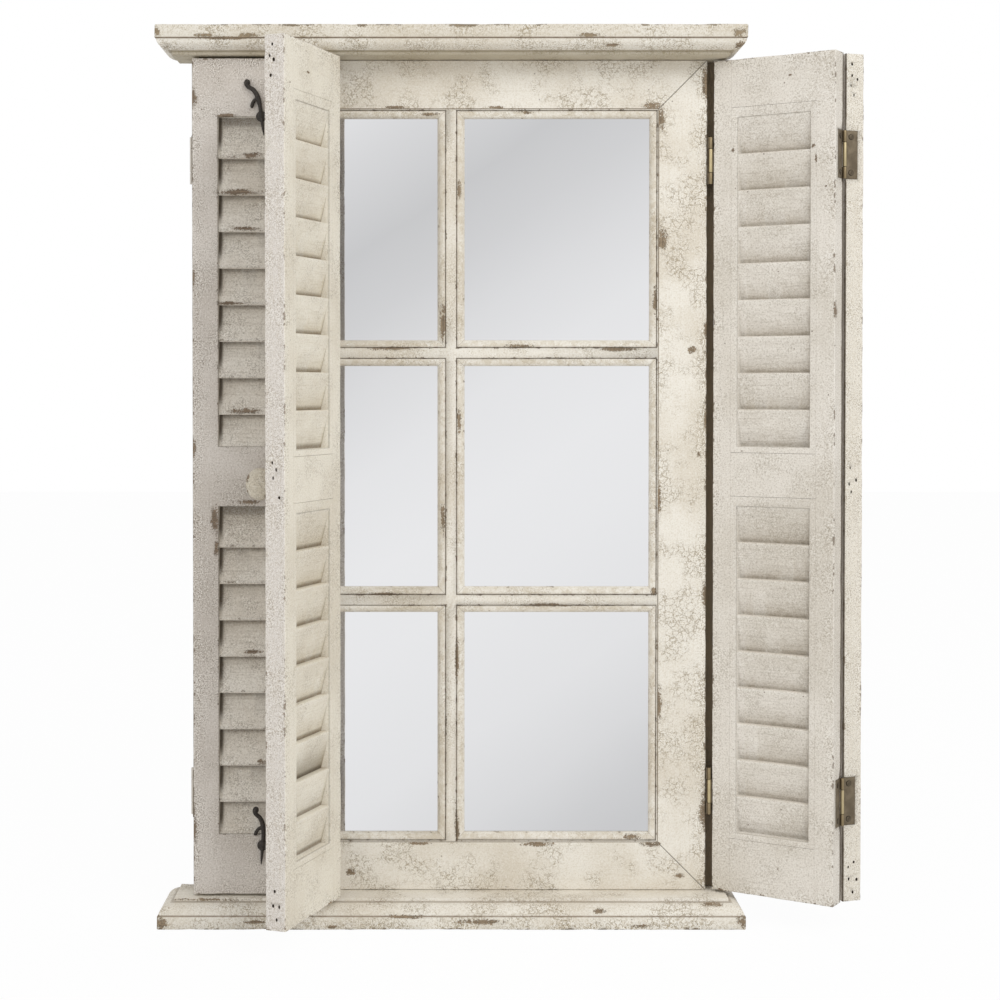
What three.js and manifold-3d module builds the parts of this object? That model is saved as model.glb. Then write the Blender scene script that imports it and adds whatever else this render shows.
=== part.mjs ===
import * as THREE from 'three';
import { mergeVertices } from 'three/addons/utils/BufferGeometryUtils.js';
import Module from 'manifold-3d';

const wasm = await Module();
wasm.setup();

// Wall mirror behind two pairs of folding louvred shutters. Millimetres, X to the right, Z up.
// The wall plane is Y = 0 and the front faces -Y. Inside the case, Z = 0 is mid height.

// Case: crown and sill boards with a convex moulding under (over) a square slab.
const overallWidth = 620;
const overallHeight = 950;
const mouldingDepth = 72;
const slabThickness = 14;
const ovoloHeight = 11.6;
const ovoloProjection = 14.8;
const ovoloSteps = 6;
const slabOverhang = 1.2;
const lipThickness = 3.4;
const softArris = 0.8;

// Mirror frame: four mitred members with a rebate behind for the glass and its backing.
const crownOverhang = 36;
const frameDepth = 24;
const memberWidth = 52;
const rebateWidth = 6;
const battenWidth = 5.5;
const battenDepth = 9;
const grilleDepth = 7.7;
const glassThickness = 3;
const backingThickness = 6;
const glassClearance = 0.5;

// Glazing grille: two columns and three rows of panes between moulded bars.
const barFlat = 10.8;
const barSight = 29.2;
const crossbarFlat = 10.7;
const crossbarSight = 27.8;
const sideMolding = 9;
const endMolding = 9.6;
const edgeFillet = 0.9;
const quirkDepth = 1.9;
const quirkShare = 0.1;
const moldingDrop = 0.7;
const moldingSteps = 5;

// Shutter panels.
const centreGap = 2.8;
const panelThickness = 22;
const panelEndClearance = 2.5;
const shutterStandoff = 3;
const stileWidth = 20;
const topRailHeight = 51;
const middleRailHeight = 46.5;
const bottomRailHeight = 57.5;
const louvreSideStrip = 6.7;
const louvreTopStrip = 10.5;
const louvreBottomStrip = 6.5;

// Louvre blades: a saw-toothed face on each side, the inner one a little higher.
const noseCount = 8;
const lowestNose = 33.6;
const highestCrevice = 5.4;
const noseDepth = 0.8;
const creviceDepth = 10.5;
const noseRound = 3;
const innerFaceRise = 5.9;
const noseSegments = 3;
const bladeKeyIn = 1;

// Butt hinges.
const hingeLength = 50;
const hingeInset = 105.5;
const leafReach = 16;
const leafThickness = 1.2;
const leafStart = 3.4;
const leafFace = 1.8;
const knuckleRadius = 2.9;
const pinRadius = 1.2;
const boreRadius = 1.5;
const endKnuckle = 12;
const knuckleGap = 0.5;
const knuckleSides = 14;
const foldAxisProud = 1.4;
const screwRadius = 2.7;
const screwHeight = 0.7;
const screwSpacing = 37.2;
const screwReach = 8.4;
const screwSides = 10;

// Knobs and iron scroll hooks, both on the outer panels.
const knobRadius = 17;
const knobProjection = 27;
const knobInset = 73;
const knobDrop = 8.95;
const knobSides = 24;
const hookInset = 73.5;
const upperHookInset = 61.8;
const lowerHookInset = 52.5;
const upperHookLean = 6;
const lowerHookLean = -6;
const hookRod = 1.9;
const hookArmRod = 1.6;
const hookDisc = 5.8;
const hookDiscHeight = 3.6;
const hookSides = 8;

// Hanging rail, a Z-shaped bar screwed to the backing.
const railLength = 300;
const railInset = 63.7;
const railGauge = 1.6;
const railFlange = 14;
const railHookDrop = 12;
const railDepth = 5.4;

// Opening angles of the four panels, in degrees.
const leftOpen = 0;
const leftFold = 111;
const rightOpen = 149;
const rightFold = 138;

// Clearance between pieces that touch.
const fit = 0.3;

// Derived sizes.
const crownHeight = slabThickness + ovoloHeight + lipThickness;
const clearHeight = overallHeight / 2 - crownHeight;
const frameHalfWidth = overallWidth / 2 - crownOverhang;
const frameHalfHeight = clearHeight - fit;
const openingHalfWidth = frameHalfWidth - memberWidth;
const openingHalfHeight = frameHalfHeight - memberWidth;
const rebateFront = -(frameDepth - grilleDepth);
const glassBack = rebateFront + fit + glassThickness;
const backingFront = glassBack + fit;
const backingBack = backingFront + backingThickness;
const sideSight = openingHalfWidth - sideMolding;
const topSight = openingHalfHeight - endMolding;
const paneHeight = (2 * topSight - 2 * crossbarSight) / 3;
const crossbarOffset = (paneHeight + crossbarSight) / 2;
const panelHeight = 2 * (clearHeight - panelEndClearance);
const panelWidth = (2 * frameHalfWidth - 4 * leafFace - centreGap) / 4;
const louvreHeight = (panelHeight - topRailHeight - middleRailHeight - bottomRailHeight) / 2;
const louvreOpeningHeight = louvreHeight - louvreTopStrip - louvreBottomStrip;
const bladePitch = (louvreOpeningHeight - lowestNose - highestCrevice) / noseCount;
const insertWidth = panelWidth - 2 * (stileWidth + fit);
const pivotX = frameHalfWidth + leafFace + leafThickness + fit;
const pivotY = -(frameDepth + shutterStandoff);
const edgeToPivot = leafFace + leafThickness + fit;
const louvreOpeningWidth = insertWidth - 2 * louvreSideStrip;
const hingeOffset = panelHeight / 2 - hingeInset;
const middleRailCentre = panelHeight / 2 - topRailHeight - louvreHeight - middleRailHeight / 2;
const bearingCentre = (2 * frameHalfHeight - memberWidth + rebateWidth) / 2;

const paint = (color, roughness) => new THREE.MeshStandardMaterial({ color, roughness, metalness: 0 });
const metal = (color, roughness) => new THREE.MeshStandardMaterial({ color, roughness, metalness: 0.9 });
const creamPaint = paint(0xded8c8, 0.7);
const greyPaint = paint(0xc8beb6, 0.75);
const ivoryPaint = paint(0xe0d8c4, 0.7);
const bareBoard = paint(0x8f7350, 0.85);
const agedBrass = metal(0x9c8458, 0.45);
const blackIron = metal(0x2d2a26, 0.6);
const zincPlate = metal(0xb4b6b8, 0.4);
const silvered = metal(0xd4d6da, 0.04);

// A closed geometry as a solid, with its faces turned outwards where a mapping mirrored it.
function toSolid(geometry) {
  const bare = new THREE.BufferGeometry();
  bare.setAttribute('position', geometry.getAttribute('position'));
  bare.setIndex(geometry.index);
  const merged = mergeVertices(bare, 1e-4);
  const vertProperties = new Float32Array(merged.getAttribute('position').array);
  const triVerts = new Uint32Array(merged.index.array);
  const solid = new wasm.Manifold(new wasm.Mesh({ numProp: 3, vertProperties, triVerts }));
  if (solid.volume() > 0) return solid;
  triVerts.reverse();
  return new wasm.Manifold(new wasm.Mesh({ numProp: 3, vertProperties, triVerts }));
}

function toGeometry(solid) {
  const { vertProperties, triVerts } = solid.getMesh();
  const geometry = new THREE.BufferGeometry();
  geometry.setAttribute('position', new THREE.BufferAttribute(vertProperties, 3));
  geometry.setIndex(new THREE.BufferAttribute(triVerts, 1));
  geometry.computeVertexNormals();
  return geometry;
}

function addMesh(parent, name, solid, material) {
  const mesh = new THREE.Mesh(toGeometry(solid), material);
  mesh.name = name;
  parent.add(mesh);
  return mesh;
}

const at = (x, y, z) => new THREE.Vector3(x, y, z);
const range = (count) => [...Array(count).keys()];

// A block between two opposite corners.
function block(x0, x1, y0, y1, z0, z1) {
  const geometry = new THREE.BoxGeometry(Math.abs(x1 - x0), Math.abs(y1 - y0), Math.abs(z1 - z0));
  geometry.translate((x0 + x1) / 2, (y0 + y1) / 2, (z0 + z1) / 2);
  return toSolid(geometry);
}

// A round bar along Z.
function roundBar(radius, z0, z1, sides) {
  const geometry = new THREE.CylinderGeometry(radius, radius, z1 - z0, sides);
  geometry.rotateX(Math.PI / 2);
  geometry.translate(0, 0, (z0 + z1) / 2);
  return toSolid(geometry);
}

// A prism: an outline given in two axes, extruded over a length, then laid with a function of (a, b, along).
function prism(outline, start, end, lay) {
  const shape = new THREE.Shape(outline);
  const geometry = new THREE.ExtrudeGeometry(shape, { depth: 1, steps: 1, bevelEnabled: false });
  const position = geometry.getAttribute('position');
  for (let i = 0; i < position.count; i++) {
    const a = position.getX(i);
    const b = position.getY(i);
    const along = position.getZ(i) < 0.5 ? start(a) : end(a);
    position.setXYZ(i, ...lay(a, b, along));
  }
  return toSolid(geometry);
}

// A skin through loops of corners, closed by its first and last loop.
function loft(loops) {
  const count = loops[0].length;
  const last = (loops.length - 1) * count;
  const index = [];
  for (let ring = 0; ring < last; ring += count) {
    for (let i = 0; i < count; i++) {
      const a = ring + i;
      const b = ring + ((i + 1) % count);
      index.push(a, b, b + count, a, b + count, a + count);
    }
  }
  for (let i = 1; i + 1 < count; i++) index.push(0, i + 1, i, last, last + i, last + i + 1);
  const geometry = new THREE.BufferGeometry().setFromPoints(loops.flat());
  geometry.setIndex(index);
  return toSolid(geometry);
}

// Crown (up = 1) or sill (up = -1): lip, convex moulding with mitred returns, and slab.
function corniceBoard(up) {
  const slabHalf = overallWidth / 2;
  const level = (inset, z) => {
    const half = slabHalf - inset;
    const front = -(mouldingDepth - inset);
    return [at(-half, 0, up * z), at(half, 0, up * z), at(half, front, up * z), at(-half, front, up * z)];
  };
  const lipInset = slabOverhang + ovoloProjection;
  const slabUnderside = clearHeight + lipThickness + ovoloHeight;
  const loops = [level(lipInset, clearHeight)];
  for (const step of range(ovoloSteps + 1)) {
    const turn = (step / ovoloSteps) * (Math.PI / 2);
    const inset = lipInset - ovoloProjection * Math.sin(turn);
    loops.push(level(inset, slabUnderside - ovoloHeight * Math.cos(turn)));
  }
  loops.push(level(0, slabUnderside));
  loops.push(level(0, overallHeight / 2 - softArris));
  loops.push(level(softArris, overallHeight / 2));
  return loft(loops);
}

// A mitred frame member, with a = distance in from the frame's outer edge and b = depth.
function frameMember(half, lay) {
  const outline = [
    [0, 0],
    [memberWidth - rebateWidth, 0],
    [memberWidth - rebateWidth, rebateFront],
    [memberWidth, rebateFront],
    [memberWidth, -frameDepth],
    [softArris, -frameDepth],
    [0, -frameDepth + softArris],
  ].map(([a, b]) => new THREE.Vector2(a, b));
  const reach = (a) => half - a - fit / 2;
  return prism(outline, (a) => -reach(a), reach, lay);
}

// A batten against the wall behind a stile's outer edge. It closes the view through the hinge gap.
function wallBatten(side) {
  const inner = side * (frameHalfWidth - fit / 3);
  const outer = side * (frameHalfWidth + battenWidth);
  return block(inner, outer, -battenDepth, 0, -frameHalfHeight, frameHalfHeight);
}

// A cutter for one pane: straight at the sight edge, then out over the ovolo and its quirk to the bar flats.
function paneCutter(sight, flat) {
  const level = (open, y) => {
    const [x0, x1, z0, z1] = sight.map((edge, i) => edge + (flat[i] - edge) * open);
    return [at(x0, y, z0), at(x1, y, z0), at(x1, y, z1), at(x0, y, z1)];
  };
  const loops = [level(0, rebateFront + 1)];
  const rise = grilleDepth - moldingDrop;
  for (const step of range(moldingSteps + 1)) {
    const turn = (step / moldingSteps) * (Math.PI / 2);
    loops.push(level((1 - quirkShare) * (1 - Math.cos(turn)), rebateFront - rise * Math.sin(turn)));
  }
  const quirkBottom = quirkDepth - frameDepth;
  loops.push(level(1 - quirkShare * 0.7, quirkBottom));
  loops.push(level(1, quirkBottom));
  loops.push(level(1, -frameDepth - 1));
  return loft(loops);
}

function glazingGrille() {
  const halfWidth = openingHalfWidth - fit;
  const halfHeight = openingHalfHeight - fit;
  let grille = block(-halfWidth, halfWidth, -frameDepth, rebateFront, -halfHeight, halfHeight);
  const outerFlatX = halfWidth - edgeFillet;
  const outerFlatZ = halfHeight - edgeFillet;
  const sightRows = [
    [-topSight, -crossbarOffset - crossbarSight / 2],
    [-crossbarOffset + crossbarSight / 2, crossbarOffset - crossbarSight / 2],
    [crossbarOffset + crossbarSight / 2, topSight],
  ];
  const flatRows = [
    [-outerFlatZ, -crossbarOffset - crossbarFlat / 2],
    [-crossbarOffset + crossbarFlat / 2, crossbarOffset - crossbarFlat / 2],
    [crossbarOffset + crossbarFlat / 2, outerFlatZ],
  ];
  for (const side of [-1, 1]) {
    const sightColumn = [side * (barSight / 2), side * sideSight];
    const flatColumn = [side * (barFlat / 2), side * outerFlatX];
    sightRows.forEach((sightRow, row) => {
      const cutter = paneCutter([...sightColumn, ...sightRow], [...flatColumn, ...flatRows[row]]);
      grille = grille.subtract(cutter);
    });
  }
  return grille;
}

// One face of the louvres as an outline walked upwards, with d = depth behind the shutter's face.
function toothFace(path, noses, bottom, top, turnedDown) {
  const slope = (creviceDepth - noseDepth) / bladePitch;
  const depthAt = (z, nose) => noseDepth + (turnedDown ? nose - z : z - nose) * slope;
  const steps = range(noseSegments + 1).map((i) => i / noseSegments);
  const nose = (z, sign) => {
    const corner = [noseDepth, z];
    const flank = [noseDepth + slope * noseRound, z + sign * noseRound];
    const under = [noseDepth + noseRound, z];
    const arc = steps.map((t) => {
      const a = (1 - t) * (1 - t);
      const b = 2 * t * (1 - t);
      const c = t * t;
      return [0, 1].map((k) => a * under[k] + b * corner[k] + c * flank[k]);
    });
    return turnedDown ? arc.reverse() : arc;
  };
  if (turnedDown) {
    path.push([depthAt(bottom, noses[0]), bottom]);
    noses.forEach((z, i) => {
      if (z > top) return;
      path.push(...nose(z, -1));
      const above = noses[i + 1] ?? z + bladePitch;
      path.push([depthAt(z, above), z]);
    });
    path.push([depthAt(top, noses.at(-1) > top ? noses.at(-1) : noses.at(-1) + bladePitch), top]);
  } else {
    path.push([depthAt(bottom, noses[0] - bladePitch), bottom]);
    noses.forEach((z) => {
      path.push([depthAt(z, z - bladePitch), z]);
      path.push(...nose(z, 1));
    });
    path.push([depthAt(top, noses.at(-1)), top]);
  }
}

// Louvre insert: border strips and blades in one piece, centred, its front face at Y = 0.
function louvreInsert(height) {
  const bottom = -height / 2 + fit / 2;
  const top = height / 2 - fit / 2;
  const openingBottom = -height / 2 + louvreBottomStrip;
  const openingTop = height / 2 - louvreTopStrip;
  const halfOpening = louvreOpeningWidth / 2;
  const border = block(-insertWidth / 2, insertWidth / 2, 0, panelThickness, bottom, top).subtract(
    block(-halfOpening, halfOpening, -1, panelThickness + 1, openingBottom, openingTop),
  );
  const noses = range(noseCount).map((k) => openingBottom + lowestNose + k * bladePitch);
  const innerNoses = noses.map((z) => z + innerFaceRise);
  const bladesBottom = openingBottom - bladeKeyIn;
  const bladesTop = openingTop + bladeKeyIn;
  const front = [];
  const back = [];
  toothFace(front, noses, bladesBottom, bladesTop, false);
  toothFace(back, innerNoses, bladesBottom, bladesTop, true);
  const outline = [
    ...front.map(([d, z]) => new THREE.Vector2(d, z)),
    ...back.reverse().map(([d, z]) => new THREE.Vector2(panelThickness - d, z)),
  ];
  const reach = halfOpening + bladeKeyIn;
  const blades = prism(outline, () => -reach, () => reach, (d, z, along) => [along, d, z]);
  return border.add(blades);
}

const louvreSolid = louvreInsert(louvreHeight);

// Stile with its outer arrises eased. Its inner edge is plain, and side says which way it faces out.
function stile(side) {
  const inner = panelWidth / 2 - stileWidth;
  const outer = panelWidth / 2;
  const outline = [
    [inner, 0],
    [outer - softArris, 0],
    [outer, softArris],
    [outer, panelThickness - softArris],
    [outer - softArris, panelThickness],
    [inner, panelThickness],
  ].map(([a, b]) => new THREE.Vector2(side * a, b));
  const half = panelHeight / 2;
  return prism(outline, () => -half, () => half, (a, b, along) => [a, b, along]);
}

// Housing for a hinge leaf in a stile's edge, open to the front face.
function leafHousing(side, z) {
  const outer = side * (panelWidth / 2);
  const floor = outer - side * (leafThickness + fit);
  const back = leafReach - foldAxisProud + fit;
  const half = hingeLength / 2 + fit;
  return block(floor, outer + side, -1, back, z - half, z + half);
}

// A panel's wood: two stiles, three rails and two louvre inserts.
function addPanelWood(panel, name, hingeSide, housedSide, faceMaterial) {
  const stiles = [
    ['hinge_stile', hingeSide],
    ['lead_stile', -hingeSide],
  ];
  for (const [label, side] of stiles) {
    let wood = stile(side);
    if (side === housedSide) {
      for (const z of [-hingeOffset, hingeOffset]) wood = wood.subtract(leafHousing(side, z));
    }
    addMesh(panel, `${name}_${label}`, wood, faceMaterial);
  }
  const bands = [
    ['top_rail', topRailHeight],
    ['upper_louvres', louvreHeight],
    ['middle_rail', middleRailHeight],
    ['lower_louvres', louvreHeight],
    ['bottom_rail', bottomRailHeight],
  ];
  const half = insertWidth / 2;
  let top = panelHeight / 2;
  for (const [label, height] of bands) {
    const bottom = top - height;
    const upperEdge = label === 'top_rail' ? top : top - fit / 2;
    const lowerEdge = label === 'bottom_rail' ? bottom : bottom + fit / 2;
    const louvred = label.endsWith('louvres');
    const wood = louvred ? louvreSolid : block(-half, half, 0, panelThickness, lowerEdge, upperEdge);
    const piece = addMesh(panel, `${name}_${label}`, wood, faceMaterial);
    if (louvred) piece.position.z = (top + bottom) / 2;
    top = bottom;
  }
}

// One hinge leaf with its knuckles on the Z axis. The plate lies on the +X side and runs to +Y.
// The fixed leaf carries the pin between two end knuckles, the moving one the bored middle knuckle.
function hingeLeaf(carriesPin) {
  const half = hingeLength / 2;
  const middleHalf = half - endKnuckle - knuckleGap;
  const plateBack = leafFace + leafThickness;
  let leaf = block(leafFace, plateBack, leafStart, leafReach, -half, half);
  const spans = carriesPin
    ? [
        [-half, -half + endKnuckle],
        [half - endKnuckle, half],
      ]
    : [[-middleHalf, middleHalf]];
  for (const [z0, z1] of spans) {
    leaf = leaf.add(block(leafFace, plateBack, 0, leafStart + fit, z0, z1));
    leaf = leaf.add(roundBar(knuckleRadius, z0, z1, knuckleSides));
  }
  if (carriesPin) {
    leaf = leaf.add(roundBar(pinRadius, -half + 1, half - 1, knuckleSides));
  } else {
    leaf = leaf.subtract(roundBar(boreRadius, -half, half, knuckleSides));
  }
  for (const z of [-screwSpacing / 2, screwSpacing / 2]) {
    const shape = new THREE.CylinderGeometry(screwRadius * 0.7, screwRadius, screwHeight + fit, screwSides);
    shape.rotateZ(Math.PI / 2);
    shape.translate(leafFace + (fit - screwHeight) / 2, screwReach, z);
    leaf = leaf.add(toSolid(shape));
  }
  return leaf;
}

const fixedLeaf = hingeLeaf(true);
const movingLeaf = hingeLeaf(false);

// Places a leaf at a pivot: plateX and plateY say to which side the plate lies and runs.
function addLeaf(parent, name, solid, pivot, z, plateX, plateY) {
  const mesh = addMesh(parent, name, solid, agedBrass);
  mesh.position.set(pivot[0], pivot[1], z);
  if (plateX < 0 && plateY < 0) mesh.rotation.z = Math.PI;
  else if (plateX < 0) mesh.rotation.y = Math.PI;
  else if (plateY < 0) mesh.rotation.x = Math.PI;
}

// Turned knob on the panel's front, its axis along -Y.
function knob() {
  const neck = knobRadius * 0.36;
  const profile = [
    [0, fit],
    [neck * 1.6, fit],
    [neck * 1.6, 2],
    [neck * 1.15, 3.6],
    [neck, 7],
    [neck * 1.25, 10.5],
    [knobRadius * 0.75, 13.5],
    [knobRadius * 0.96, 16.5],
    [knobRadius, 19],
    [knobRadius * 0.93, 22],
    [knobRadius * 0.7, 24.8],
    [knobRadius * 0.36, 26.5],
    [0, knobProjection],
  ].map(([r, h]) => new THREE.Vector2(r, h));
  return toSolid(new THREE.LatheGeometry(profile, knobSides).rotateX(Math.PI));
}

// A round rod through points of the panel's plane.
function rod(points, radius, steps) {
  const lift = -(fit + hookRod);
  const path = new THREE.CatmullRomCurve3(points.map(([x, z]) => at(x, lift, z)));
  const section = new THREE.Shape();
  section.absarc(0, 0, radius, 0, 2 * Math.PI);
  const options = { steps, extrudePath: path, curveSegments: hookSides / 2, bevelEnabled: false };
  return toSolid(new THREE.ExtrudeGeometry(section, options));
}

// Iron scroll hook: a stem over a domed disc, a curl at its head and an arm that turns down.
function scrollHook() {
  const stem = rod(
    [
      [0.6, -20],
      [0.3, -6],
      [0, 8],
      [-0.4, 18],
      [-2.2, 26.5],
      [-5.4, 31],
      [-9, 32.2],
      [-11.6, 34.6],
      [-11, 37.8],
      [-8, 38.8],
      [-6.3, 36.9],
    ],
    hookRod,
    26,
  );
  const arm = rod(
    [
      [-0.4, 19.5],
      [-4.4, 19.4],
      [-7.4, 16.6],
      [-9, 12.6],
    ],
    hookArmRod,
    7,
  );
  const dome = [
    [0, fit],
    [hookDisc, fit],
    [hookDisc, fit + 1.2],
    [hookDisc * 0.72, fit + 2.6],
    [0, hookDiscHeight],
  ].map(([r, h]) => new THREE.Vector2(r, h));
  const disc = toSolid(new THREE.LatheGeometry(dome, 16).rotateX(Math.PI));
  return stem.add(arm).add(disc);
}

const knobSolid = knob();
const hookSolid = scrollHook();

function addFittings(panel, name, hingeSide) {
  const fromHingeEdge = (distance) => hingeSide * (panelWidth / 2 - distance);
  addMesh(panel, `${name}_knob`, knobSolid, ivoryPaint).position.set(
    fromHingeEdge(knobInset),
    0,
    middleRailCentre - knobDrop,
  );
  const hooks = [
    ['upper_hook', panelHeight / 2 - upperHookInset, upperHookLean],
    ['lower_hook', lowerHookInset - panelHeight / 2, lowerHookLean],
  ];
  for (const [label, height, lean] of hooks) {
    const hook = addMesh(panel, `${name}_${label}`, hookSolid, blackIron);
    hook.position.set(fromHingeEdge(hookInset), 0, height);
    hook.rotation.y = -THREE.MathUtils.degToRad(lean);
  }
}

// Hanging rail with its screws: flange on the backing, hook turned down clear of it.
function hangingRail() {
  const flat = backingBack + fit;
  const face = flat + railGauge;
  const back = flat + railDepth;
  const outline = [
    [flat, 0],
    [back - railGauge, 0],
    [back - railGauge, -railHookDrop],
    [back, -railHookDrop],
    [back, railGauge],
    [face, railGauge],
    [face, railFlange],
    [flat, railFlange],
  ].map(([a, b]) => new THREE.Vector2(a, b));
  const half = railLength / 2;
  let rail = prism(outline, () => -half, () => half, (a, b, along) => [along, a, b]);
  for (const x of [-half * 0.8, 0, half * 0.8]) {
    const head = new THREE.CylinderGeometry(2.4, 3.4, 1.4, 12);
    head.translate(x, face + 0.5, railFlange * 0.62);
    rail = rail.add(toSolid(head));
  }
  return rail;
}

// A pair of folding panels: side is -1 on the left and 1 on the right.
function addShutterPair(mirrorCase, sideName, side, openAngle, foldAngle) {
  const outerName = `${sideName}_outer`;
  const innerName = `${sideName}_inner`;
  const levels = [
    ['upper', hingeOffset],
    ['lower', -hingeOffset],
  ];

  const outer = new THREE.Group();
  outer.position.set(side * pivotX, pivotY, 0);
  outer.rotation.z = side * THREE.MathUtils.degToRad(openAngle);
  mirrorCase.add(outer);
  const outerPanel = new THREE.Group();
  outerPanel.position.set(-side * (edgeToPivot + panelWidth / 2), -panelThickness, 0);
  outer.add(outerPanel);
  addPanelWood(outerPanel, outerName, side, -side, greyPaint);
  addFittings(outerPanel, outerName, side);

  const foldPivot = [-side * (edgeToPivot + panelWidth + leafFace), -panelThickness - foldAxisProud];
  const inner = new THREE.Group();
  inner.position.set(foldPivot[0], foldPivot[1], 0);
  inner.rotation.z = side * THREE.MathUtils.degToRad(foldAngle);
  outer.add(inner);
  const innerPanel = new THREE.Group();
  innerPanel.position.set(-side * (leafFace + panelWidth / 2), foldAxisProud, 0);
  inner.add(innerPanel);
  addPanelWood(innerPanel, innerName, side, side, ivoryPaint);

  for (const [label, z] of levels) {
    const frameHinge = `${outerName}_${label}`;
    addLeaf(mirrorCase, `${frameHinge}_fixed_leaf`, fixedLeaf, [side * pivotX, pivotY], z, -side, 1);
    addLeaf(outer, `${frameHinge}_moving_leaf`, movingLeaf, [0, 0], z, -side, -1);
    const foldHinge = `${innerName}_${label}`;
    addLeaf(outer, `${foldHinge}_fixed_leaf`, fixedLeaf, foldPivot, z, side, 1);
    addLeaf(inner, `${foldHinge}_moving_leaf`, movingLeaf, [0, 0], z, -side, 1);
  }
}

const group = new THREE.Group();
const mirrorCase = new THREE.Group();
mirrorCase.position.z = -bearingCentre;
group.add(mirrorCase);

addMesh(mirrorCase, 'crown', corniceBoard(1), creamPaint);
addMesh(mirrorCase, 'sill', corniceBoard(-1), creamPaint);
for (const up of [1, -1]) {
  const name = up > 0 ? 'frame_top_rail' : 'frame_bottom_rail';
  const lay = (a, b, along) => [along, b, up * (frameHalfHeight - a)];
  addMesh(mirrorCase, name, frameMember(frameHalfWidth, lay), creamPaint);
}
for (const side of [-1, 1]) {
  const name = side < 0 ? 'frame_left_stile' : 'frame_right_stile';
  const lay = (a, b, along) => [side * (frameHalfWidth - a), b, along];
  const member = frameMember(frameHalfHeight, lay).add(wallBatten(side));
  addMesh(mirrorCase, name, member, creamPaint);
}
addMesh(mirrorCase, 'glazing_grille', glazingGrille(), creamPaint);
const paneHalfWidth = openingHalfWidth + rebateWidth - glassClearance;
const paneHalfHeight = openingHalfHeight + rebateWidth - glassClearance;
const sheet = (front, back) => {
  return block(-paneHalfWidth, paneHalfWidth, front, back, -paneHalfHeight, paneHalfHeight);
};
addMesh(mirrorCase, 'mirror_glass', sheet(rebateFront + fit, glassBack), silvered);
addMesh(mirrorCase, 'back_board', sheet(backingFront, backingBack), bareBoard);
addMesh(mirrorCase, 'hanging_rail', hangingRail(), zincPlate).position.z = openingHalfHeight - railInset;
addShutterPair(mirrorCase, 'left', -1, leftOpen, leftFold);
addShutterPair(mirrorCase, 'right', 1, rightOpen, rightFold);

export default group;
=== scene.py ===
import bpy
import math
import random
from mathutils import Matrix, Vector, noise


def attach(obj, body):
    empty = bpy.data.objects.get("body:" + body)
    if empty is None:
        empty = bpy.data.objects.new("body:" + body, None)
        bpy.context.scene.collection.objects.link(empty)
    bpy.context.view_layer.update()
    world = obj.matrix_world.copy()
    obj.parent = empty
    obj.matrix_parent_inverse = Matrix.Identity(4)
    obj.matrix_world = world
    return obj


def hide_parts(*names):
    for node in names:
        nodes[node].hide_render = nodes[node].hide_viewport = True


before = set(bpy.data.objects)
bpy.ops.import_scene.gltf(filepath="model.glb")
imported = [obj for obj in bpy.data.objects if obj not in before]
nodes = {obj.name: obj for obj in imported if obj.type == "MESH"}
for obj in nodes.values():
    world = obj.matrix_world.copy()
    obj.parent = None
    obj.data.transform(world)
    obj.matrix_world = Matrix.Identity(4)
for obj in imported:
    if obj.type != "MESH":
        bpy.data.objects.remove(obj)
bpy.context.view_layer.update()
mm = 0.001
random.seed(11)
print("frame loaded:", len(nodes), "nodes")

case = {"midHeight": -422.7, "pivotX": 277.3, "pivotY": -27.0, "height": 950.0}
shutter = {
    "width": 134.5,
    "thickness": 22.0,
    "height": 887.0,
    "edgeToPivot": 3.3,
    "edgeToFold": 1.8,
    "foldProud": 1.4,
    "hingeLevels": {"upper": 338.0, "lower": -338.0},
}
photoPose = {"left": (-1, 0.0, 111.0), "right": (1, 149.0, 138.0)}  # side, degrees open, degrees folded


def place(x, y, z, degrees=0.0):
    return Matrix.Translation((x * mm, y * mm, z * mm)) @ Matrix.Rotation(math.radians(degrees), 4, "Z")


places = {"case": place(0, 0, case["midHeight"])}  # every piece is modelled in one of these, then moved
pivots = {}
for sideName, (side, opened, folded) in photoPose.items():
    outerPivot = places["case"] @ place(side * case["pivotX"], case["pivotY"], 0, side * opened)
    foldX = -side * (shutter["edgeToPivot"] + shutter["width"] + shutter["edgeToFold"])
    foldY = -shutter["thickness"] - shutter["foldProud"]
    foldPlace = outerPivot @ place(foldX, foldY, 0)
    innerPivot = foldPlace @ place(0, 0, 0, side * folded)
    half = shutter["width"] / 2
    outerX, innerX = (-side * (shutter[gap] + half) for gap in ("edgeToPivot", "edgeToFold"))
    places[sideName + "_outer"] = outerPivot @ place(outerX, -shutter["thickness"], 0)
    places[sideName + "_inner"] = innerPivot @ place(innerX, shutter["foldProud"], 0)
    pivots[sideName] = {"side": side, "outer": outerPivot, "fold": foldPlace, "inner": innerPivot}


def bodyOf(placeName):
    return "mirror_case" if placeName == "case" else placeName + "_panel"


def clearSelection():
    if bpy.context.mode != "OBJECT":
        bpy.ops.object.mode_set(mode="OBJECT")
    bpy.ops.object.select_all(action="DESELECT")


def selectOnly(piece):
    clearSelection()
    piece.select_set(True)
    bpy.context.view_layer.objects.active = piece


def applyPlace(piece):
    selectOnly(piece)
    bpy.ops.object.transform_apply(location=True, rotation=True, scale=True)


def ownCopy(model, name):  # a copy with its own mesh
    piece = model.copy()
    piece.data = model.data.copy()
    piece.name = name
    bpy.context.scene.collection.objects.link(piece)
    return piece


def applyModifier(piece, name, kind, settings):
    selectOnly(piece)
    change = piece.modifiers.new(name, kind)
    for key, value in settings.items():
        setattr(change, key, value)
    bpy.ops.object.modifier_apply(modifier=change.name)


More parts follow.
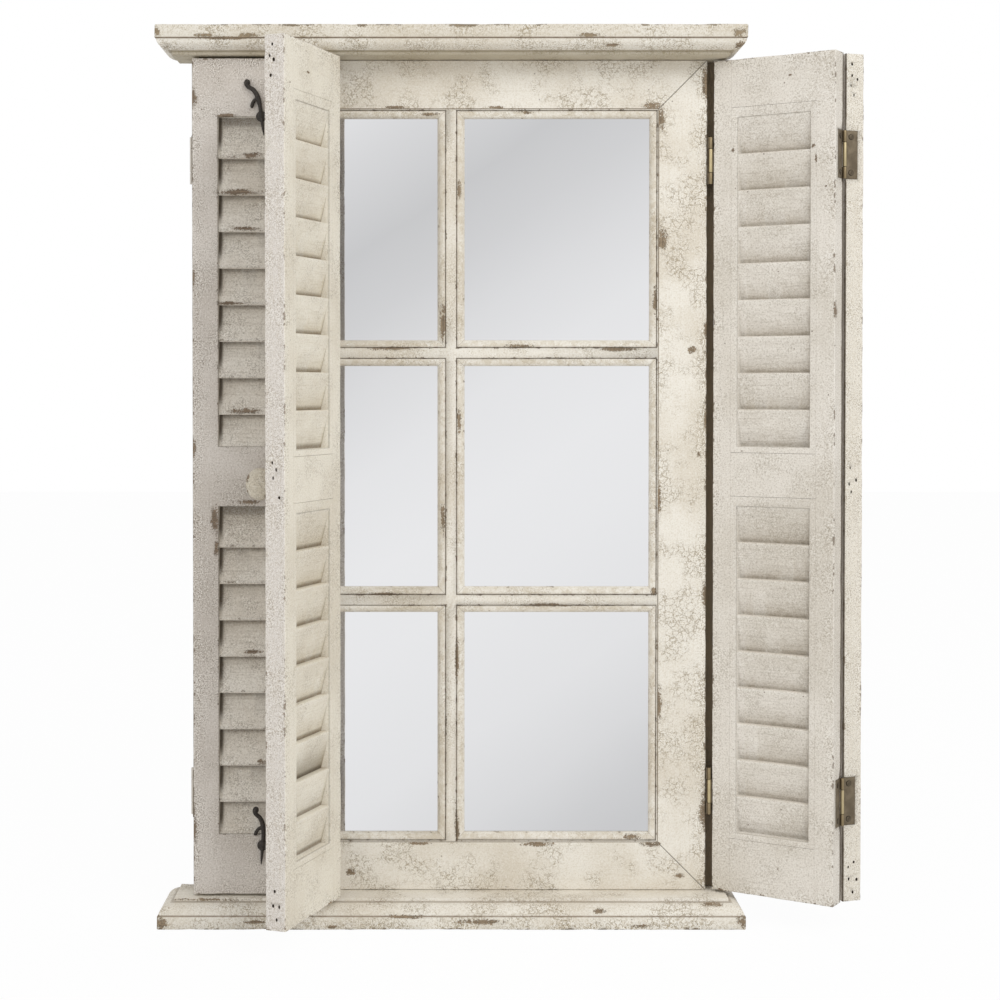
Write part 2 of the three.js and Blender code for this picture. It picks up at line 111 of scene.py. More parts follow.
def easeSharp(offset):  # in edit mode: every sharp edge of the piece
    bpy.ops.mesh.select_mode(type="EDGE")
    bpy.ops.mesh.select_all(action="DESELECT")
    bpy.ops.mesh.edges_select_sharp(sharpness=math.radians(60))
    bpy.ops.mesh.bevel(offset=offset * mm, segments=2, affect="EDGES")
    bpy.ops.object.mode_set(mode="OBJECT")


def turnOutwards():  # in edit mode: every face of the piece
    bpy.ops.mesh.select_all(action="SELECT")
    bpy.ops.mesh.normals_make_consistent(inside=False)
    bpy.ops.object.mode_set(mode="OBJECT")


def combine(piece, other, operation):
    applyModifier(piece, "combine", "BOOLEAN", {"operation": operation, "solver": "EXACT", "object": other})
    bpy.data.objects.remove(other)


def joinPieces(piece, others):
    selectOnly(piece)
    for other in others:
        other.select_set(True)
    bpy.ops.object.join()


class Wire:  # one socket, with the shader maths that is used on it
    def __init__(self, tree, socket=None):
        self.tree = tree
        self.socket = socket

    def make(self, kind, settings=None, values=None, output=0):
        node = self.tree.nodes.new(kind)
        for key, value in (settings or {}).items():
            if key == "stops":
                while len(node.color_ramp.elements) < len(value):
                    node.color_ramp.elements.new(0.5)
                for element, (position, colour) in zip(node.color_ramp.elements, value):
                    element.position = position
                    element.color = colour
            else:
                setattr(node, key, value)
        for key, value in (values or {}).items():
            if isinstance(value, Wire):
                self.tree.links.new(value.socket, node.inputs[key])
            else:
                node.inputs[key].default_value = value
        return Wire(self.tree, node.outputs[output])

    def maths(self, operation, first, second=0.0):
        return self.make("ShaderNodeMath", {"operation": operation}, {0: first, 1: second})

    def __add__(self, other):
        return self.maths("ADD", self, other)

    def __radd__(self, other):
        return self.maths("ADD", other, self)

    def __sub__(self, other):
        return self.maths("SUBTRACT", self, other)

    def __rsub__(self, other):
        return self.maths("SUBTRACT", other, self)

    def __mul__(self, other):
        return self.maths("MULTIPLY", self, other)

    def __rmul__(self, other):
        return self.maths("MULTIPLY", other, self)

    def least(self, other):
        return self.maths("MINIMUM", self, other)

    def most(self, other):
        return self.maths("MAXIMUM", self, other)

    def size(self):
        return self.maths("ABSOLUTE", self)

    def rise(self, low, high):  # 0 below low, 1 above high, smooth between
        settings = {"interpolation_type": "SMOOTHSTEP"}
        return self.make("ShaderNodeMapRange", settings, {"Value": self, "From Min": low, "From Max": high})

    def fall(self, low, high):
        return 1 - self.rise(low, high)

    def tint(self, under, over):  # self mixes from one colour to another
        return self.make("ShaderNodeMix", {"data_type": "RGBA"}, {0: self, 6: under, 7: over}, 2)

    def spread(self, x, y, z):
        return self.make("ShaderNodeVectorMath", {"operation": "MULTIPLY"}, {0: self, 1: (x, y, z)})

    def cloud(self, scale, detail=2.0, rough=0.5):
        values = {"Vector": self, "Scale": scale, "Detail": detail, "Roughness": rough}
        return self.make("ShaderNodeTexNoise", {}, values)

    def parts(self):  # x, y and z
        return [self.make("ShaderNodeSeparateXYZ", {}, {0: self}, axis) for axis in range(3)]

    def washed(self, mask, tone):  # a colour under a thin wash of one tone
        return mask.tint(self, paintColour(*tone))

    def bump(self, strength, distance):
        return self.make("ShaderNodeBump", {}, {"Height": self, "Strength": strength, "Distance": distance})


def paintColour(red, green, blue):
    def linear(value):
        value = value / 255
        return value / 12.92 if value <= 0.04045 else ((value + 0.055) / 1.055) ** 2.4

    return (linear(red), linear(green), linear(blue), 1.0)


def newMaterial(name):
    material = bpy.data.materials.new(name)
    material.use_nodes = True
    material.node_tree.nodes.clear()
    return material, Wire(material.node_tree)


def finishMaterial(wire, shader, kind="ShaderNodeOutputMaterial"):
    output = wire.tree.nodes.new(kind)
    wire.tree.links.new(shader.socket, output.inputs["Surface"])


def finishSurface(wire, values):
    finishMaterial(wire, wire.make("ShaderNodeBsdfPrincipled", {}, values))


def localPoint(wire, placeMatrix):  # millimetres in the piece's own place
    here = wire.make("ShaderNodeTexCoord", output="Object")
    values = {"Vector": here, "Location": placeMatrix.to_translation(), "Rotation": placeMatrix.to_euler()}
    mapped = wire.make("ShaderNodeMapping", {"vector_type": "TEXTURE"}, values)
    return mapped.make("ShaderNodeVectorMath", {"operation": "SCALE"}, {0: mapped, "Scale": 1 / mm})


def setMaterial(piece, material):
    piece.data.materials.clear()
    piece.data.materials.append(material)


# camera, light and backdrop; places in millimetres from the middle of the case
view = {
    "place": (-11.2, -1972.2, 95.2),
    "pitch": -0.99,
    "yaw": -0.119,
    "lens": 65.35,
    "sensor": 36,
    "shift": (0.0631, -0.0807),
    "reach": 50,
}
lamps = {
    "key": {"place": (1500, -2300, 1500), "size": 1.7, "power": 36},
    "fill": {"place": (-1900, -1800, 500), "size": 2.2, "power": 13},
}
studio = {"soft": 0.66, "white": 1.0, "floorSize": 16, "floorGrey": 0.9, "floorWhite": 0.96}
floorLevel = case["midHeight"] - case["height"] / 2

cameraData = bpy.data.cameras.new("photoCamera")
camera = bpy.data.objects.new("photoCamera", cameraData)
bpy.context.scene.collection.objects.link(camera)
cameraX, cameraY, cameraZ = view["place"]
camera.location = (cameraX * mm, cameraY * mm, (cameraZ + case["midHeight"]) * mm)
camera.rotation_euler = (math.radians(90 + view["pitch"]), 0, -math.radians(view["yaw"]))
cameraData.lens = view["lens"]
cameraData.sensor_width = view["sensor"]
cameraData.shift_x, cameraData.shift_y = view["shift"]
cameraData.clip_end = view["reach"]
bpy.context.scene.camera = camera

for lampName, lamp in lamps.items():
    lampData = bpy.data.lights.new(lampName, "AREA")
    lampData.size = lamp["size"]
    lampData.energy = lamp["power"]
    lampObject = bpy.data.objects.new(lampName, lampData)
    bpy.context.scene.collection.objects.link(lampObject)
    lampObject.location = [value * mm for value in lamp["place"]]
    aim = Vector((0, 0, case["midHeight"] * mm)) - lampObject.location
    lampObject.rotation_euler = aim.to_track_quat("-Z", "Y").to_euler()


def whiteRays(wire, cameraShare):  # the rays that see a white background
    rays = wire.make("ShaderNodeLightPath", output="Is Camera Ray") * cameraShare
    rays = rays.most(wire.make("ShaderNodeLightPath", output="Is Glossy Ray"))
    return rays.most(wire.make("ShaderNodeLightPath", output="Is Transmission Ray"))


def plainShader(wire, kind, grey, strength=None):
    values = {"Color": (grey, grey, grey, 1)}
    if strength is not None:
        values["Strength"] = strength
    return wire.make(kind, {}, values)


world = bpy.data.worlds.new("studio")
bpy.context.scene.world = world
world.use_nodes = True
world.node_tree.nodes.clear()
sky = Wire(world.node_tree)
soft = plainShader(sky, "ShaderNodeBackground", 1, studio["soft"])
white = plainShader(sky, "ShaderNodeBackground", 1, studio["white"])
skyMix = sky.make("ShaderNodeMixShader", {}, {0: whiteRays(sky, 1), 1: soft, 2: white})
finishMaterial(sky, skyMix, "ShaderNodeOutputWorld")

clearSelection()
bpy.ops.mesh.primitive_plane_add(size=studio["floorSize"], location=(0, 0, floorLevel * mm))
floor = bpy.context.object
floor.name = "floor"
applyPlace(floor)
floorMaterial, floorWire = newMaterial("paleFloor")
floorDiffuse = plainShader(floorWire, "ShaderNodeBsdfDiffuse", studio["floorGrey"])
floorWhite = plainShader(floorWire, "ShaderNodeEmission", 1, studio["white"])
floorSeen = whiteRays(floorWire, studio["floorWhite"])
floorMix = floorWire.make("ShaderNodeMixShader", {}, {0: floorSeen, 1: floorDiffuse, 2: floorWhite})
finishMaterial(floorWire, floorMix)
setMaterial(floor, floorMaterial)
print("camera, lamps and floor set")

# paint: tones as seen, and how strongly each kind of wear shows
coats = {
    "case": {
        "face": ((236, 231, 220), (221, 213, 198)),
        "stain": (190, 175, 146),
        "bare": (158, 139, 114),
        "crack": (158, 141, 111),
        "crackle": 0.65,
        "wear": 1.3,
        "edgeBare": 0.75,
        "mottle": 0.3,
        "pepper": 0.75,
        "spatter": 0.6,
    },
    "outer": {
        "face": ((214, 207, 199), (198, 190, 181)),
        "inside": ((227, 221, 210), (213, 205, 192)),
        "stain": (150, 137, 118),
        "bare": (142, 124, 104),
        "crack": (112, 98, 80),
        "crackle": 0.2,
        "wear": 1.2,
        "edgeBare": 0.5,
        "mottle": 0.42,
        "pepper": 0.75,
        "spatter": 0.8,
    },
    "inner": {
        "face": ((214, 206, 196), (196, 188, 176)),
        "inside": ((236, 230, 215), (223, 215, 198)),
        "stain": (184, 168, 138),
        "bare": (158, 134, 104),
        "crack": (136, 120, 96),
        "crackle": 0.15,
        "wear": 1.1,
        "edgeBare": 0.35,
        "mottle": 0.3,
        "pepper": 0.5,
        "spatter": 0.45,
    },
}
coats["left_inner"] = {**coats["inner"], "edge": (221, 215, 208)}
coats["right_outer"] = {**coats["outer"], "inside": ((228, 222, 212), (214, 207, 195)), "crackle": 0.12}
# the right-hand shutters' end faces carry a painted shadow near the street side
coats["right_outer"].update({"soiledEnd": 2.4, "pepper": 0.5, "crack": (140, 127, 104)})
coats["right_inner"] = {**coats["inner"], "edge": (234, 228, 215), "soiledEnd": 0.8}
paintGrain = {  # scale to the millimetre, detail and roughness
    "broad": (0.011, 3),
    "patch": (0.03, 3, 0.6),
    "ragged": (0.14, 4, 0.65),
    "fine": (0.55, 3, 0.7),
    "grit": (1.3, 2, 0.7),
    "pepper": (0.8, 1),
}
# tones of wear, dirt and joints, and of painted light: the tone for lighter arrises is partly a painted
# highlight, and the tones for the end gaps, the dark strip by the hinges and the dark lines also paint shade
wearAndShadeTones = {
    "chalk": (244, 241, 234),
    "chalkSpeck": (247, 244, 237),
    "rubbed": (243, 239, 230),
    "rust": (104, 86, 66),
    "joint": (118, 98, 74),
    "mitre": (92, 80, 60),
    "soiled": (84, 71, 54),
    "bored": (72, 58, 44),
    "shaded": (160, 147, 116),
    "batten": (122, 109, 90),
}
crackNet = {"scale": 0.15, "bendScale": 0.22, "bend": 6, "width": (0.02, 0.078), "zone": (0.42, 0.62)}
spatterDots = {"scale": 0.062, "radius": (0.035, 0.06)}
chipEdge = {"depth": 0.16, "ragged": 2.4, "fine": 3.6, "grit": 1.2, "fade": (0.78, 0.98), "reach": (1.3, 1.5)}
paintBump = {"strength": 0.6, "distance": 0.0009}
insideFrom = {"board": (0.7, 1.5), "blade": (10, 13)}  # how deep a panel's inside colour begins
panelHalf = (shutter["width"] / 2, shutter["height"] / 2)
panelBox = ((-panelHalf[0], 0.0, -panelHalf[1]), (panelHalf[0], shutter["thickness"], panelHalf[1]))


def chipsOver(chips, low, high):  # the chips that touch a piece: x, y, z, half width, half height
    return [
        (x, y, z, wide, tall) for x, y, z, wide, tall in chips
        if low[0] - wide < x < high[0] + wide and low[2] - tall < z < high[2] + tall
    ]


def panesShadeAndWear(panes, axes, grain, colour, lost):  # the moulding round each pane, quirk to inner arris: painted shade in the quirk, joints, stains and wear
    ragged, fine = grain
    across = panes["halfWide"] - (axes[0].size() - panes["middleX"]).size()
    rows = panes["middleHalf"] - axes[2].size()
    rows = rows.most(panes["outerHalf"] - (axes[2].size() - panes["middleZ"]).size())
    inset = across.least(rows)
    # painted shade in the quirk groove; the mitre lines are joints
    quirk = inset.rise(-0.35, 0.1) * inset.fall(0.7, 1.25)
    mitre = (across - rows).size().fall(0.15, 0.5) * inset.rise(0.2, 1.0)
    lines = (quirk * (0.5 + ragged * 0.5)).most(mitre * 0.5)
    crest = inset.rise(0.8, 2.0) * inset.fall(7.0, 9.0)
    colour = colour.washed(crest * ragged.rise(0.42, 0.62) * 0.38, coats["case"]["stain"])
    loss = quirk * ragged.rise(0.55, 0.63) + inset.rise(7.2, 8.2) * ragged.rise(0.62, 0.68)
    lost = lost.most(loss * 0.85)
    arrisWear = inset.size().fall(0.3, 1.4) * ragged.rise(0.56, 0.66) * fine.rise(0.42, 0.5)
    lost = lost.most(arrisWear * 0.8)
    return lines, colour, lost


def louvreShadeAndWear(louvre, spot, axes, grain, finish):  # painted shade between the blades, at their ends and round the opening; wear and a painted highlight on their noses
    ragged, fine, grit = grain
    colour, rubbed, lost = finish
    depth = axes[1].least(shutter["thickness"] - axes[1])
    within = louvre["halfOpening"] - axes[0].size()
    level = louvre["halfHeight"] - (axes[2] - louvre["middle"]).size()
    inOpening = within.least(level).rise(-0.3, 0.3)
    onBlade = within.rise(0.08, 0.3) * inOpening
    towards = (axes[0] * louvre["shadedEnd"]).rise(-20, 38) * 0.8 + 0.2 if louvre["shadedEnd"] else 1.0
    # painted shade: darker the deeper a blade's face lies, near the blade ends and where blades meet the side
    # walls; only the brush marks are real
    recessShade = depth.rise(louvre["clean"], 11) * (ragged * 0.7)
    corner = within.fall(0.6, 9.0) * depth.rise(3.0, 9.0) * (0.3 + ragged * 0.9) * towards
    brushed = spot.spread(0.03, 0.6, 0.6).cloud(1.0, 3, 0.6).rise(0.52, 0.68) * 0.3
    grime = (recessShade.most(corner) + brushed * depth.rise(1, 4)) * onBlade
    grime = grime.most(within.size().fall(0.05, 0.2) * depth.rise(2.0, 8.0) * louvre["wall"] * inOpening)
    colour = colour.washed(grime * louvre["grime"], louvre["soil"])
    # painted shade: a dark line in the crevice under each nose, a dark wedge at the blade ends, and a dark
    # line round the opening where the blades step back
    crevice = depth.rise(9.0, 10.2) * (0.6 + fine * 0.6) * louvre["crevice"]
    wedge = within.fall(louvre["wedge"] * 0.4, louvre["wedge"]) * depth.rise(2.0, 6.5) * towards
    deep = crevice.most(wedge) * onBlade * louvre["deep"]
    outline = within.least(level).size().fall(0.3, 0.8) * depth.fall(1.5, 3.0) * (0.35 + ragged * 0.5)
    colour = colour.washed(deep.most(outline * louvre["outline"]), louvre["dark"])
    # blade noses and the opening's lip painted lighter: rubbed paint and a painted highlight
    nose = depth.fall(1.1, 2.1) * inOpening
    rubbed = rubbed.most(nose * 0.7)
    street = axes[1].fall(10, 12)
    bareNose = louvre["bareInside"] + street * (louvre["bareStreet"] - louvre["bareInside"])
    lost = lost.most(nose * ragged.rise(0.54, 0.6) * fine.rise(0.38, 0.5) * bareNose)
    colour = colour.washed(nose * grit.rise(0.5, 0.6) * bareNose * 0.9, louvre["dark"])
    lip = (within.least(level) + (ragged - 0.5) * 1.5).size().fall(0.3, 1.6) * depth.fall(0.6, 2.2)
    rubbed = rubbed.most(lip * 0.6)
    lost = lost.most(lip * ragged.rise(0.55, 0.62) * fine.rise(0.44, 0.54) * bareNose)
    return colour, rubbed, lost


def agedPaint(name, placeMatrix, box, coat, along, chips=(), louvre=None, seams=(), panes=None):
    material, wire = newMaterial(name)
    low, high = box
    spot = localPoint(wire, placeMatrix)
    axes = spot.parts()
    gaps = [(high[i] - low[i]) / 2 - (axes[i] - (high[i] + low[i]) / 2).size() for i in range(3)]
    arris = gaps[0].least(gaps[1]).most(gaps[0].most(gaps[1]).least(gaps[2]))  # middle one of three
    broad, patch, ragged, fine, grit, pepper = (spot.cloud(*values) for values in paintGrain.values())
    stretch = [0.5, 0.5, 0.5]
    stretch[along] = 0.02
    grain = spot.spread(*stretch).cloud(1.0, 4, 0.65)

    light, dark = coat["face"]
    colour = broad.rise(0.36, 0.64).tint(paintColour(*light), paintColour(*dark))
    if "inside" in coat:
        inLight, inDark = coat["inside"]
        inner = broad.rise(0.38, 0.66).tint(paintColour(*inLight), paintColour(*inDark))
        colour = axes[1].rise(*insideFrom[coat.get("insideFrom", "board")]).tint(colour, inner)
    if "edge" in coat:
        endFace = gaps[0].fall(0.25, 0.7)
        colour = colour.washed(endFace, coat["edge"])
        colour = colour.washed(endFace * grit.rise(0.5, 0.62) * 0.45, coat["crack"])
    colour = colour.washed(patch.rise(0.5, 0.74) * ragged.rise(0.35, 0.7) * 0.2, coat["stain"])
    colour = colour.washed(grain.rise(0.5, 0.74) * 0.2, coat["stain"])
    colour = colour.washed(fine.rise(0.5, 0.66) * coat["mottle"], coat["stain"])
    colour = colour.washed(grit.rise(0.54, 0.7) * coat["mottle"] * 0.7, coat["crack"])
    colour = colour.washed(fine.fall(0.34, 0.46) * 0.4, wearAndShadeTones["chalk"])
    crusty = (arris.fall(3, 16) * 0.5 + patch.rise(0.42, 0.6) * 0.6) * coat["pepper"]
    colour = colour.washed(pepper.rise(0.56, 0.62) * crusty, coat["crack"])
    colour = colour.washed(pepper.fall(0.38, 0.44) * crusty * 0.9, wearAndShadeTones["chalkSpeck"])

    values = {"Vector": spot, "Scale": crackNet["bendScale"], "Detail": 3.0}
    bend = {0: wire.make("ShaderNodeTexNoise", {}, values, "Color"), 1: (crackNet["bend"],) * 3, 2: spot}
    bent = wire.make("ShaderNodeVectorMath", {"operation": "MULTIPLY_ADD"}, bend)
    values = {"Vector": bent, "Scale": crackNet["scale"]}
    cells = wire.make("ShaderNodeTexVoronoi", {"feature": "DISTANCE_TO_EDGE"}, values)
    zone = patch.rise(*crackNet["zone"]) * fine.rise(0.38, 0.54)
    cracks = cells.fall(*crackNet["width"]) * zone * coat["crackle"]
    dots = wire.make("ShaderNodeTexVoronoi", {}, {"Vector": spot, "Scale": spatterDots["scale"]})
    spatter = dots.fall(*spatterDots["radius"]) * coat["spatter"] * ragged.rise(0.4, 0.5)

    reach = ragged.rise(0.42, 0.72) * patch.rise(0.35, 0.6) * coat["wear"] * 2.6
    lost = (arris - reach + (fine - 0.5) * 1.6).fall(-0.5, 0.1) * coat["edgeBare"]
    # arrises painted lighter: rubbed paint and a painted highlight where the edges catch the light
    rubbed = (arris + (ragged - 0.5) * 2).fall(0.2, 1.5)
    for x, y, z, wide, tall in chips:
        apart = wire.make("ShaderNodeVectorMath", {"operation": "SUBTRACT"}, {0: spot, 1: (x, y, z)})
        scaled = apart.spread(1 / wide, chipEdge["depth"], 1 / tall)
        far = wire.make("ShaderNodeVectorMath", {"operation": "LENGTH"}, {0: scaled}, "Value")
        edge = far + (ragged - 0.5) * chipEdge["ragged"] + (fine - 0.5) * chipEdge["fine"]
        edge = edge + (grit - 0.5) * chipEdge["grit"]
        lost = lost.most(edge.fall(*chipEdge["fade"]) * far.fall(*chipEdge["reach"]))

    lines = None
    # dark lines at given levels: joints, and painted shade in creases
    for axis, level, width, strength, front, behind in seams:
        line = (axes[axis].size() - level).size().fall(width * 0.4, width) * strength
        line = line * axes[1].rise(front - 0.3, front) * axes[1].fall(behind, behind + 0.3)
        lines = line if lines is None else lines.most(line)
    if "mitre" in coat:
        mitre = (axes[2].size() - axes[0].size() - coat["mitre"]).size().fall(0.35, 0.8)
        mitre = mitre * axes[1].fall(-23, -22)
        colour = colour.washed(mitre * 0.9, wearAndShadeTones["mitre"])
    if panes:
        lines, colour, lost = panesShadeAndWear(panes, axes, (ragged, fine), colour, lost)

    if louvre:
        finish = colour, rubbed, lost
        colour, rubbed, lost = louvreShadeAndWear(louvre, spot, axes, (ragged, fine, grit), finish)

    colour = colour.washed(rubbed * ragged.rise(0.3, 0.6) * 0.55, wearAndShadeTones["rubbed"])
    colour = colour.washed(cracks, coat["crack"])
    colour = colour.washed(spatter, wearAndShadeTones["rust"])
    # joints darkened, with painted shade in the grooves and under the slabs
    if lines is not None:
        colour = colour.washed(lines * (0.55 + ragged * 0.6), wearAndShadeTones["joint"])
    bareLight, bareDark = coat["bare"], tuple(value * 0.74 for value in coat["bare"])
    bare = (grain * 0.6 + fine * 0.4).rise(0.38, 0.6).tint(paintColour(*bareLight), paintColour(*bareDark))
    rim = lost.rise(0.02, 0.35) * lost.fall(0.45, 0.95)
    colour = lost.tint(colour, bare)
    colour = colour.washed(rim * 0.55, wearAndShadeTones["rust"])
    # painted shadow: the end faces darkened near the street side, as the shade in the narrow gaps beside the
    # right-hand shutters
    if "soiledEnd" in coat:
        soiled = gaps[0].fall(0.4, 1.2) * axes[1].fall(coat["soiledEnd"], coat["soiledEnd"] + 1.2)
        colour = colour.washed(soiled * (0.7 + ragged * 0.5), wearAndShadeTones["soiled"])
    if "holes" in coat:
        bored = gaps[0].rise(0.35, 0.7) * gaps[0].fall(4, 5)
        bored = bored * gaps[1].rise(1.8, 2.4) * gaps[2].rise(1.8, 2.4)
        colour = colour.washed(bored, wearAndShadeTones["bored"])
    for below, above, strength in coat.get("bands", ()):
        band = axes[2].size().rise(below - 0.6, below + 0.6) * axes[2].size().fall(above - 0.6, above + 0.6)
        colour = colour.washed(band * strength, wearAndShadeTones["shaded"])
    if "bareBack" in coat:
        rear = axes[1].rise(-1.6, -0.4) * (0.6 + ragged * 0.5)
        colour = rear.tint(colour, bare)
    # painted shadow: beyond this width the stile is painted dark as the shade in the gap by the hinges
    if "batten" in coat:
        beyond = axes[0].size().rise(coat["batten"], coat["batten"] + 0.1)
        colour = colour.washed(beyond, wearAndShadeTones["batten"])

    height = grain * 0.3 + broad * 0.2 - cracks * 1.2 - spatter * 0.8 - lost * 1.3
    height = height + fine * 0.5 - pepper * crusty * 0.7
    rough = 0.6 + fine * 0.14 + lost * 0.16 + cracks * 0.1
    finishSurface(wire, {"Base Color": colour, "Roughness": rough, "Normal": height.bump(**paintBump)})
    return material


wearing = {  # in millimetres and degrees
    "merge": 0.01,
    "flat": 1.5,
    "sharp": 50,
    "arrisReach": 1.7,
    "coarse": 0.06,
    "nick": 0.21,
    "jointPaint": 0.155,
    "lip": 0.8,
    "lipClear": 28,
}


def localBox(piece, placeMatrix):
    back = placeMatrix.inverted()
    corners = [back @ vertex.co for vertex in piece.data.vertices]
    low = [min(corner[i] for corner in corners) / mm for i in range(3)]
    high = [max(corner[i] for corner in corners) / mm for i in range(3)]
    return low, high


def onEnvelope(spot, box, slack):  # how many of a box's faces a point lies on
    low, high = box
    return sum(min(abs(spot[i] - low[i]), abs(spot[i] - high[i])) < slack for i in range(3))


def arrisShift(spot, box, wear, coarse, nick):  # an outer arris rubbed inwards, more where it was knocked
    shift = Vector((0, 0, 0))
    reach = wearing["arrisReach"]
    if onEnvelope(spot, box, reach) >= 2:
        amount = wear * max(0.0, 0.2 + coarse + max(0.0, nick) * 1.1)
        for i in range(3):
            if abs(spot[i] - box[0][i]) < reach:
                shift[i] = amount
            elif abs(spot[i] - box[1][i]) < reach:
                shift[i] = -amount
    return shift


def openingShift(spot, opening, wear, nick):  # how far a louvre opening's lip or a blade's nose is rubbed
    wide, tall, level = opening
    depth = min(spot.y, shutter["thickness"] - spot.y)
    inward = 1 if spot.y < shutter["thickness"] / 2 else -1
    beyond = max(abs(spot.x) - wide, abs(spot.z - level) - tall)
    if -0.2 < beyond < 1.4 and depth < 1.4:
        return wear * max(0.0, 0.25 + nick * 1.3) * inward
    if beyond < -0.2 and 0.3 < depth < 3.2:
        return (0.1 + max(0.0, nick) * 1.0) * inward
    return None


def closeJoints(shift, spot, own, box, axes):  # paint closes the joints between the timbers
    if min(spot.y, shutter["thickness"] - spot.y) < 6:
        for i in axes:
            for bound, sign in ((own[0][i], -1), (own[1][i], 1)):
                if abs(spot[i] - bound) < 0.02 and abs(bound) < abs(box[1][i]) - 1:
                    shift[i] += wearing["jointPaint"] * sign


def wornTimber(nodeName, placeName, work):  # a merged copy of the sawn timber, eased and worn by hand
    piece = ownCopy(nodes[nodeName], nodeName + "_worn")
    piece.parent = None
    piece.matrix_world = Matrix()
    placeMatrix = places[placeName]
    back = placeMatrix.inverted()
    own = localBox(piece, placeMatrix)
    box = work.get("box") or own
    opening = work.get("opening")
    selectOnly(piece)
    bpy.ops.object.mode_set(mode="EDIT")
    bpy.ops.mesh.select_mode(type="EDGE")
    bpy.ops.mesh.select_all(action="SELECT")
    bpy.ops.mesh.remove_doubles(threshold=wearing["merge"] * mm)
    bpy.ops.mesh.dissolve_limited(angle_limit=math.radians(wearing["flat"]))
    bpy.ops.mesh.select_all(action="DESELECT")
    if work["ease"]:
        bpy.ops.mesh.edges_select_sharp(sharpness=math.radians(wearing["sharp"]))
        bpy.ops.object.mode_set(mode="OBJECT")
        spots = [(back @ vertex.co) / mm for vertex in piece.data.vertices]
        for edge in piece.data.edges:
            ends = [spots[i] for i in edge.vertices]
            middle = (ends[0] + ends[1]) / 2
            keep = onEnvelope(middle, box, 0.2) >= 2
            if opening:
                wide, tall, level = opening
                onFace = min(middle.y, shutter["thickness"] - middle.y) < 0.1
                keep = onFace and abs(middle.x) < wide + 0.2 and abs(middle.z - level) < tall + 0.2
            edge.select = edge.select and (keep or work.get("easeAll", False))
        for face in piece.data.polygons:  # a face left selected would bring back its own edges
            face.select = False
        bpy.ops.object.mode_set(mode="EDIT")
        bpy.ops.mesh.bevel(offset=work["ease"] * mm, segments=2, affect="EDGES", clamp_overlap=True)
    axis = work["along"]
    direction = Vector([1.0 if i == axis else 0.0 for i in range(3)])
    normal = placeMatrix.to_3x3() @ direction
    low, high = own
    count = max(2, round((high[axis] - low[axis]) / work["step"]))
    for cut in range(1, count):
        spotAlong = low[axis] + (high[axis] - low[axis]) * (cut + random.uniform(-0.3, 0.3)) / count
        bpy.ops.mesh.select_all(action="SELECT")
        bpy.ops.mesh.bisect(plane_co=placeMatrix @ (direction * spotAlong * mm), plane_no=normal)
    bpy.ops.object.mode_set(mode="OBJECT")

    seed = random.uniform(0, 100)
    for vertex in piece.data.vertices:
        spot = (back @ vertex.co) / mm
        coarse = noise.noise(spot * wearing["coarse"] + Vector((seed, 0, 0)))
        nick = noise.noise(spot * wearing["nick"] + Vector((0, seed, 0)))
        shift = arrisShift(spot, box, work["wear"], coarse, nick)
        if opening:
            pressed = openingShift(spot, opening, work["wear"], nick)
            shift.y = shift.y if pressed is None else pressed
        closeJoints(shift, spot, own, box, work.get("bridged" if spot.y < 6 else "bridgedInside", ()))
        fold = work.get("foldEnd")
        if fold and spot.x * fold > 66 and spot.y < 2.5:
            if abs(abs(spot.z) - shutter["hingeLevels"]["upper"]) > wearing["lipClear"]:
                shift.x += wearing["lip"] * fold
        if work.get("widened") and spot.x > work["widened"][0]:
            shift.x += work["widened"][1]
        vertex.co = placeMatrix @ ((spot + shift) * mm)
    bpy.ops.object.shade_smooth_by_angle(angle=math.radians(work.get("smooth", 40)))
    return piece, own


def settle(piece, placeName, slotName, material, *replaced):
    setMaterial(piece, material)
    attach(piece, bodyOf(placeName))
    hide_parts(*replaced)


timberWork = {"ease": 0.8, "along": 2, "step": 9.0, "wear": 0.4}

caseTimber = {
    "crown": {"along": 0, "ease": 0.45, "easeAll": True, "wear": 0.5},
    "sill": {"along": 0, "ease": 0.45, "easeAll": True, "wear": 0.5},
    "frame_top_rail": {"along": 0, "ease": 0},
    "frame_bottom_rail": {"along": 0, "ease": 0},
    "frame_left_stile": {"along": 2, "ease": 0},
    "frame_right_stile": {"along": 2, "ease": 0, "widened": (279, 4.2)},  # up to the open shutter: a fin painted dark as the shadow in the gap by the hinges
    "glazing_grille": {"along": 2, "ease": 0, "step": 30, "wear": 0.0},
}
frameBox = ((-274.0, -24.0, -475.0), (274.0, 0.0, 475.0))
# dark lines: joints between timbers, and painted shade in the crease under the crown's and sill's slab and in
# their quirk
caseDarkLines = {
    "crown": [(2, 460.9, 1.1, 0.95, -80, 0), (2, 449.3, 0.7, 0.6, -80, 0)],
    "sill": [(2, 460.9, 1.0, 0.8, -80, 0), (2, 449.3, 0.7, 0.6, -80, 0)],
    "frame_top_rail": [(2, 393.8, 1.0, 0.9, -26, 0)],
    "frame_bottom_rail": [(2, 393.8, 1.0, 0.7, -26, 0)],
    "frame_left_stile": [(0, 222.1, 1.0, 0.8, -26, 0)],
    "frame_right_stile": [(0, 222.1, 1.0, 0.9, -26, 0)],
}
